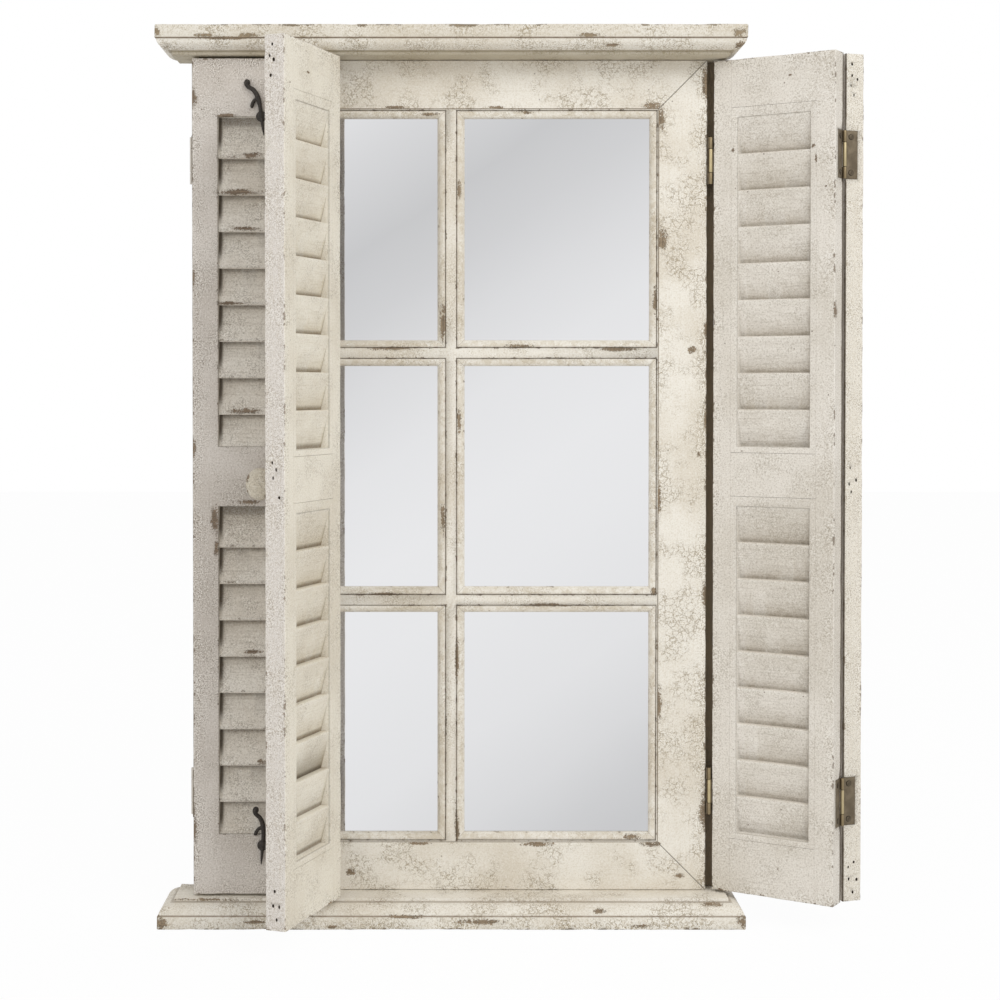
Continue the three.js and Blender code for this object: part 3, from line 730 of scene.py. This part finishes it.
caseChips = {
    "crown": [
        (-308, -70, 467, 4, 5), (-298.9, -72, 451.9, 6, 2.5), (-257.1, -72, 463.4, 10.7, 1.5),
        (-233.1, -70, 460.5, 27.9, 1.5), (-212.2, -72, 463.3, 9.7, 2.2), (-168.4, -72, 473.9, 8.5, 1.6),
        (14.2, -72, 473.6, 15.0, 1.8), (144.5, -72, 463.2, 12, 2.0), (167.5, -66, 453.8, 8.6, 1.5),
        (299.8, -72, 466.3, 6, 4), (302.0, -66, 453.8, 4, 4), (-93.3, -72, 473.6, 6.4, 1.7),
    ],
    "sill": [
        (-306.3, -70, -468.7, 7, 6), (-255.9, -60, -447.5, 38, 1.4), (-204.4, -72, -466.7, 11.8, 1.8),
        (33.4, -72, -466.5, 23.6, 2.6), (155.4, -70, -455.7, 7.5, 2.4),
        (-47.6, -72, -461.2, 19.3, 1.8), (276.3, -64, -449.3, 12.9, 2.6), (305.7, -72, -466.3, 5.5, 6),
        (-125.5, -72, -471.8, 5.4, 1.6), (198.5, -72, -470.6, 8.6, 1.6),
    ],
    "frame": [
        (216.0, -24, 397.2, 10.7, 3.4), (49.1, -24, 395.5, 7.4, 1.4),
        (-60, -24, 395.5, 9, 1.4), (224.5, -24, 382.9, 4.0, 10), (226.4, -24, 253.6, 4.6, 11),
        (273.4, -24, 420.2, 4.3, 15), (273.4, -24, -362.6, 5.4, 18), (273.5, -24, -128.4, 3.8, 14),
        (258.4, -24, 135.8, 4.0, 3.4), (223.1, -24, -25.2, 2.4, 12.9), (223.7, -24, -247.0, 3.0, 17),
        (273.6, -24, 157.3, 2.4, 8), (273.6, -24, 60.8, 2.0, 9), (246.8, -24, -430.3, 4.4, 2.4),
        (214.4, -24, -396.3, 9.7, 2.4), (92.7, -24, -396.4, 15.0, 2.4), (-33.4, -24, -395.6, 9.7, 1.6),
        (-108.9, -24, -426.7, 4.4, 3.6), (266.1, -24, 23.2, 2.4, 2.6),
    ],
    "grille": [
        (-8.6, -22, 165.9, 3.2, 18.2), (8.5, -22, 307.2, 2.2, 9), (-22.6, -22, 388.3, 8.4, 1.8),
        (-8.6, -22, -46.8, 2.2, 16), (8.5, -22, 60.7, 2.2, 12), (180.2, -24, 136.9, 19, 2.2),
        (-63.4, -23, 137.4, 22, 2.0), (74.0, -22, 140.1, 16, 1.8), (6.4, -23, -196.6, 2.0, 20),
        (6.5, -23, -379.2, 2.4, 12), (103.2, -23, -138.2, 24, 1.8), (-71.0, -22, -126.4, 18, 1.5),
        (218.0, -22, -124.0, 3.0, 4), (218.9, -22, 189.5, 2.2, 13), (195.1, -22, -388.6, 7.5, 2.6),
        (79.1, -22, 390.4, 8.6, 1.6),
    ],
}
panesOfGrille = {
    "halfWide": 107.7,
    "middleX": 113.1,
    "middleHalf": 127.35,
    "outerHalf": 127.225,
    "middleZ": 265.275,
}
grilleBox = ((-400, -80, -600), (400, 80, 600))  # so wide that no outer arris counts
crownShade = ((445.5, 449.8, 0.6), (461.5, 480, 0.2))
for nodeName, changes in caseTimber.items():
    work = {**timberWork, **changes}
    isFrame = nodeName.startswith("frame")
    coat = {**coats["case"], "bareBack": True}
    chipGroup, panes, box = nodeName, None, None
    if isFrame:
        work["box"] = box = frameBox
        coat["mitre"] = 171.7
        chipGroup = "frame"
    if nodeName == "crown":
        coat["bands"] = crownShade
    if nodeName.endswith("stile"):
        # the width beyond which the stiles are painted dark as shadow
        coat["batten"] = 274.15
    if nodeName == "glazing_grille":
        coat["crackle"] = 0.25
        chipGroup, panes, box = "grille", panesOfGrille, grilleBox
    piece, own = wornTimber(nodeName, "case", work)
    marks = {"chips": chipsOver(caseChips[chipGroup], *own), "panes": panes}
    marks["seams"] = caseDarkLines.get(nodeName, ())
    material = agedPaint(nodeName + "_paint", places["case"], box or own, coat, work["along"], **marks)
    settle(piece, "case", "cream_paint", material, nodeName)
print("case timber worn and painted")

louvreOpenings = {"upper": (40.25, 174.5, 207.5), "lower": (40.25, 174.5, -205.0)}
panelTimber = {
    "hinge_stile": {"along": 2},
    "lead_stile": {"along": 2},
    "top_rail": {"along": 0},
    "middle_rail": {"along": 0},
    "bottom_rail": {"along": 0},
    "upper_louvres": {"along": 0, "step": 5.0, "opening": louvreOpenings["upper"], "smooth": 45},
    "lower_louvres": {"along": 0, "step": 5.0, "opening": louvreOpenings["lower"], "smooth": 45},
}
panelChips = {
    "left_outer": [
        (-18.8, 1, 302.5, 21.2, 3.0), (-10.3, 1, 264.0, 12.7, 1.8), (-27.5, 1, 185.0, 12.8, 1.8),
        (-11.8, 1, 70.8, 14.8, 2.6), (-44.4, 0, -44.9, 3.6, 13.8), (-42.7, 0, -74.7, 2.4, 8.5),
        (-4.9, 1, 341.7, 9.5, 2.8),
        (-67.0, 0, 401.5, 4.4, 8.5), (-67.2, 0, 212.5, 3.2, 8.5), (-67.2, 0, 31.5, 3.2, 9.5),
        (-67.2, 0, -376.2, 3.2, 14.8), (-7.7, 0, -25.8, 9.5, 2.2), (5.6, 1, -302.5, 4.2, 2.2),
        (-9.0, 0, 418.3, 3.2, 1.6), (-3.7, 1, -185.3, 8.5, 1.8),
        (-31.3, 0, 383.0, 9.5, 1.8),
    ],
    "left_inner": [
        (31.4, 22, 345.1, 6, 1.2), (34.4, 22, 115.1, 4, 1.6), (12.5, 22, 413.9, 4, 1.0),
        (54.2, 22, 397.3, 1.6, 1.6), (-39.0, 22, -443.4, 5, 2.4),
    ],
    "right_outer": [
        (32.6, 22, 314.1, 3, 0.7), (45.1, 22, 347.7, 1.4, 2.0), (-43.1, 22, 345.9, 2, 2.0),
        (-46.3, 22, 333.2, 1.2, 4), (-57.2, 22, 303.7, 1.0, 1.0), (-17.9, 22, 421.5, 1.6, 1.0),
        (-66.9, 22, 175.6, 1.4, 8), (57.5, 22, -443.2, 3, 1.6),
    ],
}
wormHoles = {
    "left_inner_lead_stile": [
        (8.8, 433.3), (6.0, 422.2), (10.4, 418.0), (7.1, 403.0), (8.1, 21.0), (12.4, 14.2), (9.1, 6.2),
        (15.7, -13.4), (10.1, -403.9), (8.4, -418.5), (15.0, -418.8), (12.2, -432.0),
    ],
    "right_inner_hinge_stile": [
        (7.8, 432.5), (7.8, 420.6), (14.3, 416.8), (6.7, 410.1), (10.2, 400.4), (7.3, 11.5), (14.4, -1.2),
        (6.2, -5.3), (8.6, -13.7), (13.3, -402.7), (6.8, -407.5), (7.5, -420.2), (16.9, -421.5),
        (12.2, -434.3),
    ],
}
wormHole = {"radius": (1.5, 2.0), "lean": 0.5, "flat": (0.5, 0.85), "depth": 5, "sides": 9}


def boreWormHoles(piece, placeMatrix, faceX, holes):
    clearSelection()
    bits = []
    for depthY, levelZ in holes:
        radius = random.uniform(*wormHole["radius"]) * mm
        spot = placeMatrix @ (Vector((faceX, depthY, levelZ)) * mm)
        lean = Matrix.Rotation(random.uniform(-wormHole["lean"], wormHole["lean"]), 4, "Y")
        lean = lean @ Matrix.Rotation(math.pi / 2, 4, "Y")
        turn, depth = (placeMatrix.to_3x3().to_4x4() @ lean).to_euler(), wormHole["depth"] * mm
        bpy.ops.mesh.primitive_cylinder_add(
            vertices=wormHole["sides"], radius=radius, depth=depth, location=spot, rotation=turn
        )
        bits.append(bpy.context.object)
        bits[-1].scale = (1, random.uniform(*wormHole["flat"]), 1)
    joinPieces(bits[0], bits[1:])
    applyPlace(bits[0])
    combine(piece, bits[0], "DIFFERENCE")


# strengths and tones of the painted shade between the blades
louvreShade = {"clean": 4.5, "grime": 0.7, "shadedEnd": 0, "wall": 0.8, "bareInside": 0.15}
louvreTones = {
    "outer": {
        **louvreShade, "soil": (140, 126, 106), "dark": (70, 59, 44), "deep": 0.9, "wedge": 5.5,
        "crevice": 0.5, "outline": 0.6, "bareStreet": 0.8,
    },
    "inner": {
        **louvreShade, "soil": (176, 160, 130), "dark": (116, 100, 74), "deep": 0.75, "wedge": 1.6,
        "crevice": 1.0, "outline": 0.7, "bareStreet": 0.35,
    },
}
louvreTones["right_outer"] = {
    **louvreTones["outer"], "wedge": 2.5, "deep": 0.6, "dark": (104, 92, 70), "shadedEnd": -1,
}
panelSeams = [(0, 47.1, 0.4, 0.2, 21.0, 30)]  # the stile's inner edge, seen from the room
for placeName in ("left_outer", "left_inner", "right_outer", "right_inner"):
    sideName, kind = placeName.split("_")
    coat = coats.get(placeName, coats[kind])
    foldLabel, foldSide = ("lead_stile", -1) if kind == "outer" else ("hinge_stile", 1)
    for label, changes in panelTimber.items():
        nodeName = placeName + "_" + label
        work = {**timberWork, "box": panelBox, "bridged": (0, 2), "bridgedInside": (0,), **changes}
        if label == foldLabel:
            work["foldEnd"] = photoPose[sideName][0] * foldSide
        piece, own = wornTimber(nodeName, placeName, work)
        louvre, finish = None, dict(coat)
        if "opening" in work:
            wide, tall, level = work["opening"]
            louvre = {"halfOpening": wide, "halfHeight": tall, "middle": level}
            louvre.update(louvreTones.get(placeName, louvreTones[kind]))
            if kind == "inner":  # the blades' street side is as grey as their panel
                finish["insideFrom"] = "blade"
        if nodeName in wormHoles:
            finish["holes"] = True
        marks = {"louvre": louvre, "seams": panelSeams}
        marks["chips"] = chipsOver(panelChips.get(placeName, ()), *own)
        material = agedPaint(nodeName + "_paint", places[placeName], panelBox, finish, work["along"], **marks)
        if nodeName in wormHoles:
            boreWormHoles(piece, places[placeName], panelHalf[0], wormHoles[nodeName])
            bpy.ops.object.shade_smooth_by_angle(angle=math.radians(40))
        settle(piece, placeName, "grey_paint" if kind == "outer" else "ivory_paint", material, nodeName)
    print(placeName, "panel worn and painted")

# a butt hinge round its own pin
hinge = {
    "length": 50.0,
    "plate": (1.8, 3.0, 3.4, 16.0),
    "corner": 1.0,
    "arris": 0.18,
    "barArris": 0.35,
    "knuckle": 2.1,
    "pin": 0.95,
    "bore": 1.2,
    "spans": {"fixed": ((-25.0, -13.0), (13.0, 25.0)), "moving": ((-12.5, 12.5),)},
    "screws": (8.4, 18.6, 2.7, 0.7),
}


def addBlock(name, low, high):
    clearSelection()
    centre = [(a + b) / 2 * mm for a, b in zip(low, high)]
    bpy.ops.mesh.primitive_cube_add(size=1, location=centre)
    block = bpy.context.object
    block.name = name
    block.scale = [(b - a) * mm for a, b in zip(low, high)]
    applyPlace(block)
    return block


def addBar(name, radius, low, high, sides, ease):
    clearSelection()
    bpy.ops.mesh.primitive_cylinder_add(
        vertices=sides, radius=radius * mm, depth=(high - low) * mm, location=(0, 0, (low + high) / 2 * mm)
    )
    bar = bpy.context.object
    bar.name = name
    applyPlace(bar)
    if ease:
        bpy.ops.object.mode_set(mode="EDIT")
        easeSharp(ease)
    return bar


def selectEdges(piece, test):  # edges by the two ends' places, in millimetres
    bpy.ops.object.mode_set(mode="OBJECT")
    vertices = piece.data.vertices
    for edge in piece.data.edges:
        a, b = (vertices[i].co / mm for i in edge.vertices)
        edge.select = test(a, b)
    bpy.ops.object.mode_set(mode="EDIT")


def hingeLeaf(kind):
    near, far, start, reach = hinge["plate"]
    half = hinge["length"] / 2
    plate = addBlock("leaf_" + kind, (near, start, -half), (far, reach, half))
    bpy.ops.object.mode_set(mode="EDIT")
    bpy.ops.mesh.select_mode(type="EDGE")
    bpy.ops.mesh.select_all(action="DESELECT")
    selectEdges(plate, lambda a, b: abs(a.x - b.x) > 0.5 and a.y > reach - 0.1)
    bpy.ops.mesh.bevel(offset=hinge["corner"] * mm, segments=4, affect="EDGES")
    easeSharp(hinge["arris"])
    for low, high in hinge["spans"][kind]:
        combine(plate, addBlock("tab", (near, 0, low), (far - 0.02, start + 0.5, high)), "UNION")
        combine(plate, addBar("knuckle", hinge["knuckle"], low, high, 32, hinge["barArris"]), "UNION")
    if kind == "fixed":
        combine(plate, addBar("pin", hinge["pin"], -half + 1, half - 1, 24, 0.0), "UNION")
    else:
        combine(plate, addBar("bore", hinge["bore"], -half, half, 24, 0.0), "DIFFERENCE")
    reachY, levelZ, radius, rise = hinge["screws"]
    heads = []
    for level in (-levelZ, levelZ):
        head = addBar("screw", radius, -0.4, rise, 28, hinge["barArris"])
        slotBlock = addBlock("slot", (-0.35, -radius, rise - 0.45), (0.35, radius, rise + 1))
        slotBlock.data.transform(Matrix.Rotation(random.uniform(0.3, 1.2), 4, "Z"))
        combine(head, slotBlock, "DIFFERENCE")
        head.rotation_euler = (0, -math.pi / 2, 0)
        head.location = (near * mm, reachY * mm, level * mm)
        applyPlace(head)
        heads.append(head)
    joinPieces(plate, heads)
    bpy.ops.object.shade_smooth_by_angle(angle=math.radians(35))
    return plate


def agedBrass(name, placeMatrix, proud, tones):
    material, wire = newMaterial(name)
    spot = localPoint(wire, placeMatrix)
    x, y, z = spot.parts()
    around = x * x + y * y
    onKnuckle = around.fall(4.6, 6.0)
    # painted highlight: a light stripe along the knuckle's front side, with some polish
    ridge = (x * proud.x + y * proud.y).rise(1.2, 1.9) * onKnuckle
    reachY, levelZ, radius, rise = hinge["screws"]
    fromScrew = (y.size() - reachY) * (y.size() - reachY) + (z.size() - levelZ) * (z.size() - levelZ)
    ring = fromScrew.rise((radius - 0.5) ** 2, radius**2)
    ring = ring * fromScrew.fall((radius + 0.2) ** 2, (radius + 0.7) ** 2)
    head = fromScrew.fall((radius - 0.8) ** 2, (radius - 0.2) ** 2)
    cloudy = spot.cloud(0.12, 4, 0.6)
    speck = spot.cloud(1.4, 3, 0.6)
    brushed = spot.spread(1.6, 1.6, 0.08).cloud(1.0, 3, 0.6)
    colour = cloudy.rise(0.35, 0.7).tint(paintColour(104, 93, 76), paintColour(124, 112, 93))
    colour = colour.washed(brushed.rise(0.5, 0.7) * 0.4, (88, 77, 60))
    colour = colour.washed(speck.rise(0.6, 0.72) * 0.5, (66, 56, 44))
    colour = colour.washed(ring * 0.85, (44, 38, 30))
    colour = colour.washed(head * 0.5, (70, 62, 50))
    colour = colour.washed(onKnuckle, tones["knuckle"])
    colour = colour.washed(ridge * (0.5 + cloudy * 0.6), tones["ridge"])
    values = {"Base Color": colour, "Roughness": 0.45 + speck * 0.25 - ridge * 0.1}
    values.update({"Metallic": tones["metallic"], "Normal": (speck + cloudy).bump(0.25, 0.0003)})
    finishSurface(wire, values)
    return material


leafModels = {kind: hingeLeaf(kind) for kind in ("fixed", "moving")}
flips = {  # which way a leaf lies from its pin, and which way its plate faces
    (1, 1): Matrix(),
    (-1, -1): Matrix.Rotation(math.pi, 4, "Z"),
    (-1, 1): Matrix.Rotation(math.pi, 4, "Y"),
    (1, -1): Matrix.Rotation(math.pi, 4, "X"),
}


brassTones = {
    "fixed": {"knuckle": (112, 97, 74), "ridge": (146, 130, 100), "metallic": 0.7},
    "moving": {"knuckle": (128, 112, 84), "ridge": (196, 181, 142), "metallic": 0.7},
    "painted": {"knuckle": (204, 197, 188), "ridge": (214, 207, 197), "metallic": 0.1},
}


def hangLeaf(nodeName, kind, pivotPlace, flip, placeName):
    leaf = ownCopy(leafModels[kind], nodeName + "_brass")
    leaf.matrix_world = pivotPlace @ flips[flip]
    applyPlace(leaf)
    proud = pivotPlace.to_3x3().inverted() @ Vector((0, -1, 0))  # the knuckle's front side, where a painted highlight runs with some polish from hands
    tones = brassTones["painted" if nodeName.startswith("left_outer") else kind]
    material = agedBrass(nodeName + "_metal", pivotPlace, proud, tones)
    settle(leaf, placeName, "aged_brass", material, nodeName)


for sideName, pivot in pivots.items():
    side = pivot["side"]
    for levelName, level in shutter["hingeLevels"].items():
        raised = place(0, 0, level)
        outer, inner = sideName + "_outer", sideName + "_inner"
        framePlace = places["case"] @ place(side * case["pivotX"], case["pivotY"], level)
        for placeName, on, kind, pinPlace, flip in (
            (outer, "case", "fixed", framePlace, (-side, 1)),
            (outer, outer, "moving", pivot["outer"] @ raised, (-side, -1)),
            (inner, outer, "fixed", pivot["fold"] @ raised, (side, 1)),
            (inner, inner, "moving", pivot["inner"] @ raised, (-side, 1)),
        ):
            hangLeaf(f"{placeName}_{levelName}_{kind}_leaf", kind, pinPlace, flip, on)
for model in leafModels.values():
    bpy.data.objects.remove(model)
print("hinges hung")

# a turned knob: radius and level above the panel, ring by ring
knob = {
    "inset": 73.0,
    "level": -5.7,
    "sides": 56,
    "narrow": 0.88,
    "coat": {**coats["outer"], "face": ((228, 221, 206), (210, 201, 182)), "crackle": 0.1},
    "chips": [(-13.5, -20, 7, 2.5, 5), (9, -24, -13, 4, 2.5), (-13, -20, -8, 2.2, 4)],
    "box": ((-60, -60, -60), (60, 60, 60)),
    "profile": (
        (9.6, 0.3), (9.8, 1.0), (9.4, 2.0), (7.6, 3.1), (6.5, 4.8), (6.1, 7.0), (6.5, 9.2), (8.2, 11.2),
        (11.4, 13.0), (14.4, 15.0), (16.4, 17.2), (17.0, 19.4), (16.6, 21.4), (15.2, 23.2), (12.6, 24.8),
        (9.2, 25.9), (5.4, 26.6), (1.8, 26.9),
    ),
}
knob["coat"].pop("inside")


def turnKnob(name):
    clearSelection()
    radius, level = knob["profile"][0]
    bpy.ops.mesh.primitive_circle_add(
        vertices=knob["sides"], radius=radius * mm, fill_type="NGON", location=(0, 0, level * mm)
    )
    turned = bpy.context.object
    turned.name = name
    applyPlace(turned)
    bpy.ops.object.mode_set(mode="EDIT")
    bpy.ops.mesh.select_all(action="SELECT")
    for nextRadius, nextLevel in knob["profile"][1:]:
        bpy.ops.mesh.extrude_region_move(TRANSFORM_OT_translate={"value": (0, 0, (nextLevel - level) * mm)})
        bpy.ops.transform.resize(value=(nextRadius / radius, nextRadius / radius, 1))
        radius, level = nextRadius, nextLevel
    turnOutwards()
    bpy.ops.object.shade_smooth_by_angle(angle=math.radians(50))
    return turned


for sideName, pivot in pivots.items():
    placeName = sideName + "_outer"
    x = pivot["side"] * (shutter["width"] / 2 - knob["inset"])
    piece = turnKnob(placeName + "_knob_turned")
    knobPlace = places[placeName] @ place(x, 0, knob["level"])
    upright = knobPlace @ Matrix.Rotation(math.pi / 2, 4, "X")
    piece.matrix_world = upright @ Matrix.Diagonal((knob["narrow"], 1, 1, 1))
    applyPlace(piece)
    material = agedPaint(placeName + "_knob_paint", knobPlace, knob["box"], knob["coat"], 1, knob["chips"])
    settle(piece, placeName, "ivory_paint", material, placeName + "_knob")
print("knobs turned")

# an iron scroll hook: x, z and radius along its stem and its arm
hook = {
    "inset": 73.5,
    "levels": {"upper": (381.7, 6.0), "lower": (-391.0, -6.0)},
    "stem": (
        (0.6, -20.6, 0.5), (0.5, -16, 1.1), (0.3, -8, 1.7), (0, 0, 2.0), (-0.1, 9, 2.1), (-0.5, 15, 2.4),
        (-1.4, 20.0, 2.7), (-3.2, 25.2, 2.6), (-6.0, 29.4, 2.4), (-9.2, 31.6, 2.3), (-11.0, 33.6, 2.6),
        (-11.2, 36.0, 3.3), (-10.6, 38.2, 3.2), (-9.8, 40.0, 1.8),
    ),
    "arm": (
        (0.4, 17.4, 1.9), (-2.4, 18.8, 1.9), (-5.4, 17.6, 1.9), (-7.6, 14.8, 1.9), (-8.6, 11.6, 2.0),
        (-8.8, 9.8, 1.1),
    ),
    "lift": 2.6,
    "sides": 14,
    "rings": 3,
    "disc": (5.8, 3.6),
    "forge": {"mode": "VOXEL", "voxel_size": 0.00042},
    "planish": {"factor": 0.5, "iterations": 5},
}


def smoothPath(points, between):  # rings between the given ones, along one smooth curve
    path = [Vector(point) for point in points]
    rings = []
    for i in range(len(path) - 1):
        before, after = path[max(i - 1, 0)], path[min(i + 2, len(path) - 1)]
        for step in range(between):
            t = step / between
            a, b = path[i], path[i + 1]
            rings.append(
                0.5 * (2 * a + (b - before) * t + (2 * before - 5 * a + 4 * b - after) * t * t
                       + (3 * a - before - 3 * b + after) * t * t * t)
            )
    rings.append(path[-1])
    return rings


def forgedRod(name, points):  # a round bar drawn out ring by ring
    rings = smoothPath(points, hook["rings"])
    spots = [Vector((ring.x * mm, -hook["lift"] * mm, ring.y * mm)) for ring in rings]
    headings = []
    for i in range(len(spots)):
        ahead = spots[min(i + 1, len(spots) - 1)] - spots[max(i - 1, 0)]
        headings.append(math.atan2(ahead.x, ahead.z))
    clearSelection()
    turn = (0, headings[0], 0)
    bpy.ops.mesh.primitive_circle_add(
        vertices=hook["sides"], radius=rings[0].z * mm, fill_type="NGON", location=spots[0], rotation=turn
    )
    rod = bpy.context.object
    rod.name = name
    applyPlace(rod)
    bpy.ops.object.mode_set(mode="EDIT")
    bpy.ops.mesh.select_all(action="SELECT")
    for i in range(1, len(spots)):
        bpy.ops.mesh.extrude_region_move(TRANSFORM_OT_translate={"value": spots[i] - spots[i - 1]})
        turn = headings[i] - headings[i - 1]
        bpy.ops.transform.rotate(value=-turn, orient_axis="Y", center_override=spots[i])
        grow = rings[i].z / rings[i - 1].z
        bpy.ops.transform.resize(value=(grow, grow, grow), center_override=spots[i])
    turnOutwards()
    return rod


def forgeHook():
    stem = forgedRod("hookModel", hook["stem"])
    arm = forgedRod("hookArm", hook["arm"])
    radius, rise = hook["disc"]
    disc = addBar("hookDisc", radius, 0.1, rise, 40, 1.6)
    disc.rotation_euler = (math.pi / 2, 0, 0)
    applyPlace(disc)
    joinPieces(stem, [arm, disc])
    applyModifier(stem, "forge", "REMESH", hook["forge"])
    applyModifier(stem, "planish", "SMOOTH", hook["planish"])
    bpy.ops.object.shade_smooth()
    return stem


def blackIron(name, placeMatrix):
    material, wire = newMaterial(name)
    spot = localPoint(wire, placeMatrix)
    scale = spot.cloud(0.5, 4, 0.6)
    pits = spot.cloud(1.8, 3, 0.6)
    colour = scale.rise(0.35, 0.7).tint(paintColour(44, 40, 37), paintColour(68, 62, 56))
    colour = colour.washed(pits.rise(0.62, 0.74) * 0.5, (98, 80, 62))
    values = {"Base Color": colour, "Roughness": 0.5 + pits * 0.3, "Metallic": 0.4}
    values["Normal"] = (scale + pits * 0.6).bump(0.5, 0.0005)
    finishSurface(wire, values)
    return material


hookModel = forgeHook()
for sideName, pivot in pivots.items():
    placeName = sideName + "_outer"
    x = pivot["side"] * (shutter["width"] / 2 - hook["inset"])
    for levelName, (level, lean) in hook["levels"].items():
        nodeName = f"{placeName}_{levelName}_hook"
        piece = ownCopy(hookModel, nodeName + "_iron")
        hookPlace = places[placeName] @ place(x, 0, level) @ Matrix.Rotation(-math.radians(lean), 4, "Y")
        piece.matrix_world = hookPlace
        applyPlace(piece)
        settle(piece, placeName, "black_iron", blackIron(nodeName + "_metal", hookPlace), nodeName)
bpy.data.objects.remove(hookModel)
print("hooks forged")

# painted reflection: where along the sweep from the glass's top left corner to its bottom right one, and how
# bright
reflectionTones = (
    (0.0, 222), (0.053, 214), (0.149, 200), (0.227, 208), (0.307, 219), (0.4, 228), (0.52, 232),
    (0.613, 231), (0.769, 226), (0.863, 217), (0.933, 206), (0.985, 200),
)
reflectionSweep = {"across": 0.523, "down": -0.772, "start": 348, "length": 750}


def silveredGlass():
    material, wire = newMaterial("silveredGlass")
    spot = localPoint(wire, places["case"])
    x, _, z = spot.parts()
    sweep = x * reflectionSweep["across"] + z * reflectionSweep["down"] + reflectionSweep["start"]
    sweep = (sweep + (spot.cloud(0.006, 2) - 0.5) * 24) * (1 / reflectionSweep["length"])
    # painted reflection: the mirror's colour runs light and dark along the sweep
    stops = [(position, paintColour(tone, tone + 0.4, tone + 2.2)) for position, tone in reflectionTones]
    colour = sweep.make("ShaderNodeValToRGB", {"stops": stops}, {0: sweep})
    haze = spot.cloud(0.02, 3)
    finishSurface(wire, {"Base Color": colour, "Roughness": 0.02 + haze * 0.03, "Metallic": 1.0})
    return material


def fibreBoard():
    material, wire = newMaterial("fibreBoard")
    spot = localPoint(wire, places["case"])
    fibres = spot.spread(0.3, 1, 0.9).cloud(1.2, 5, 0.7)
    blotch = spot.cloud(0.012, 5, 0.65)
    colour = blotch.rise(0.35, 0.7).tint(paintColour(144, 116, 84), paintColour(130, 103, 73))
    colour = colour.washed(fibres.rise(0.5, 0.7) * 0.5, (98, 74, 50))
    values = {"Base Color": colour, "Roughness": 0.78 + fibres * 0.15, "Normal": fibres.bump(0.3, 0.0004)}
    finishSurface(wire, values)
    return material


def zincPlate():
    material, wire = newMaterial("zincPlate")
    spot = localPoint(wire, places["case"])
    spangle = spot.make("ShaderNodeTexVoronoi", {}, {"Vector": spot, "Scale": 0.12})
    brushed = spot.spread(0.05, 2, 2).cloud(1.0, 4, 0.6)
    colour = spangle.rise(0.1, 0.8).tint(paintColour(172, 175, 178), paintColour(196, 198, 200))
    values = {"Base Color": colour, "Roughness": 0.35 + brushed * 0.2, "Metallic": 0.9}
    values["Normal"] = brushed.bump(0.15, 0.0002)
    finishSurface(wire, values)
    return material


for nodeName, material in (
    ("mirror_glass", silveredGlass()),
    ("back_board", fibreBoard()),
    ("hanging_rail", zincPlate()),
):
    for slot in nodes[nodeName].material_slots:
        slot.material = material
print("glass, backing and hanging rail dressed")

bpy.context.scene.view_settings.view_transform = "Standard"
clearSelection()
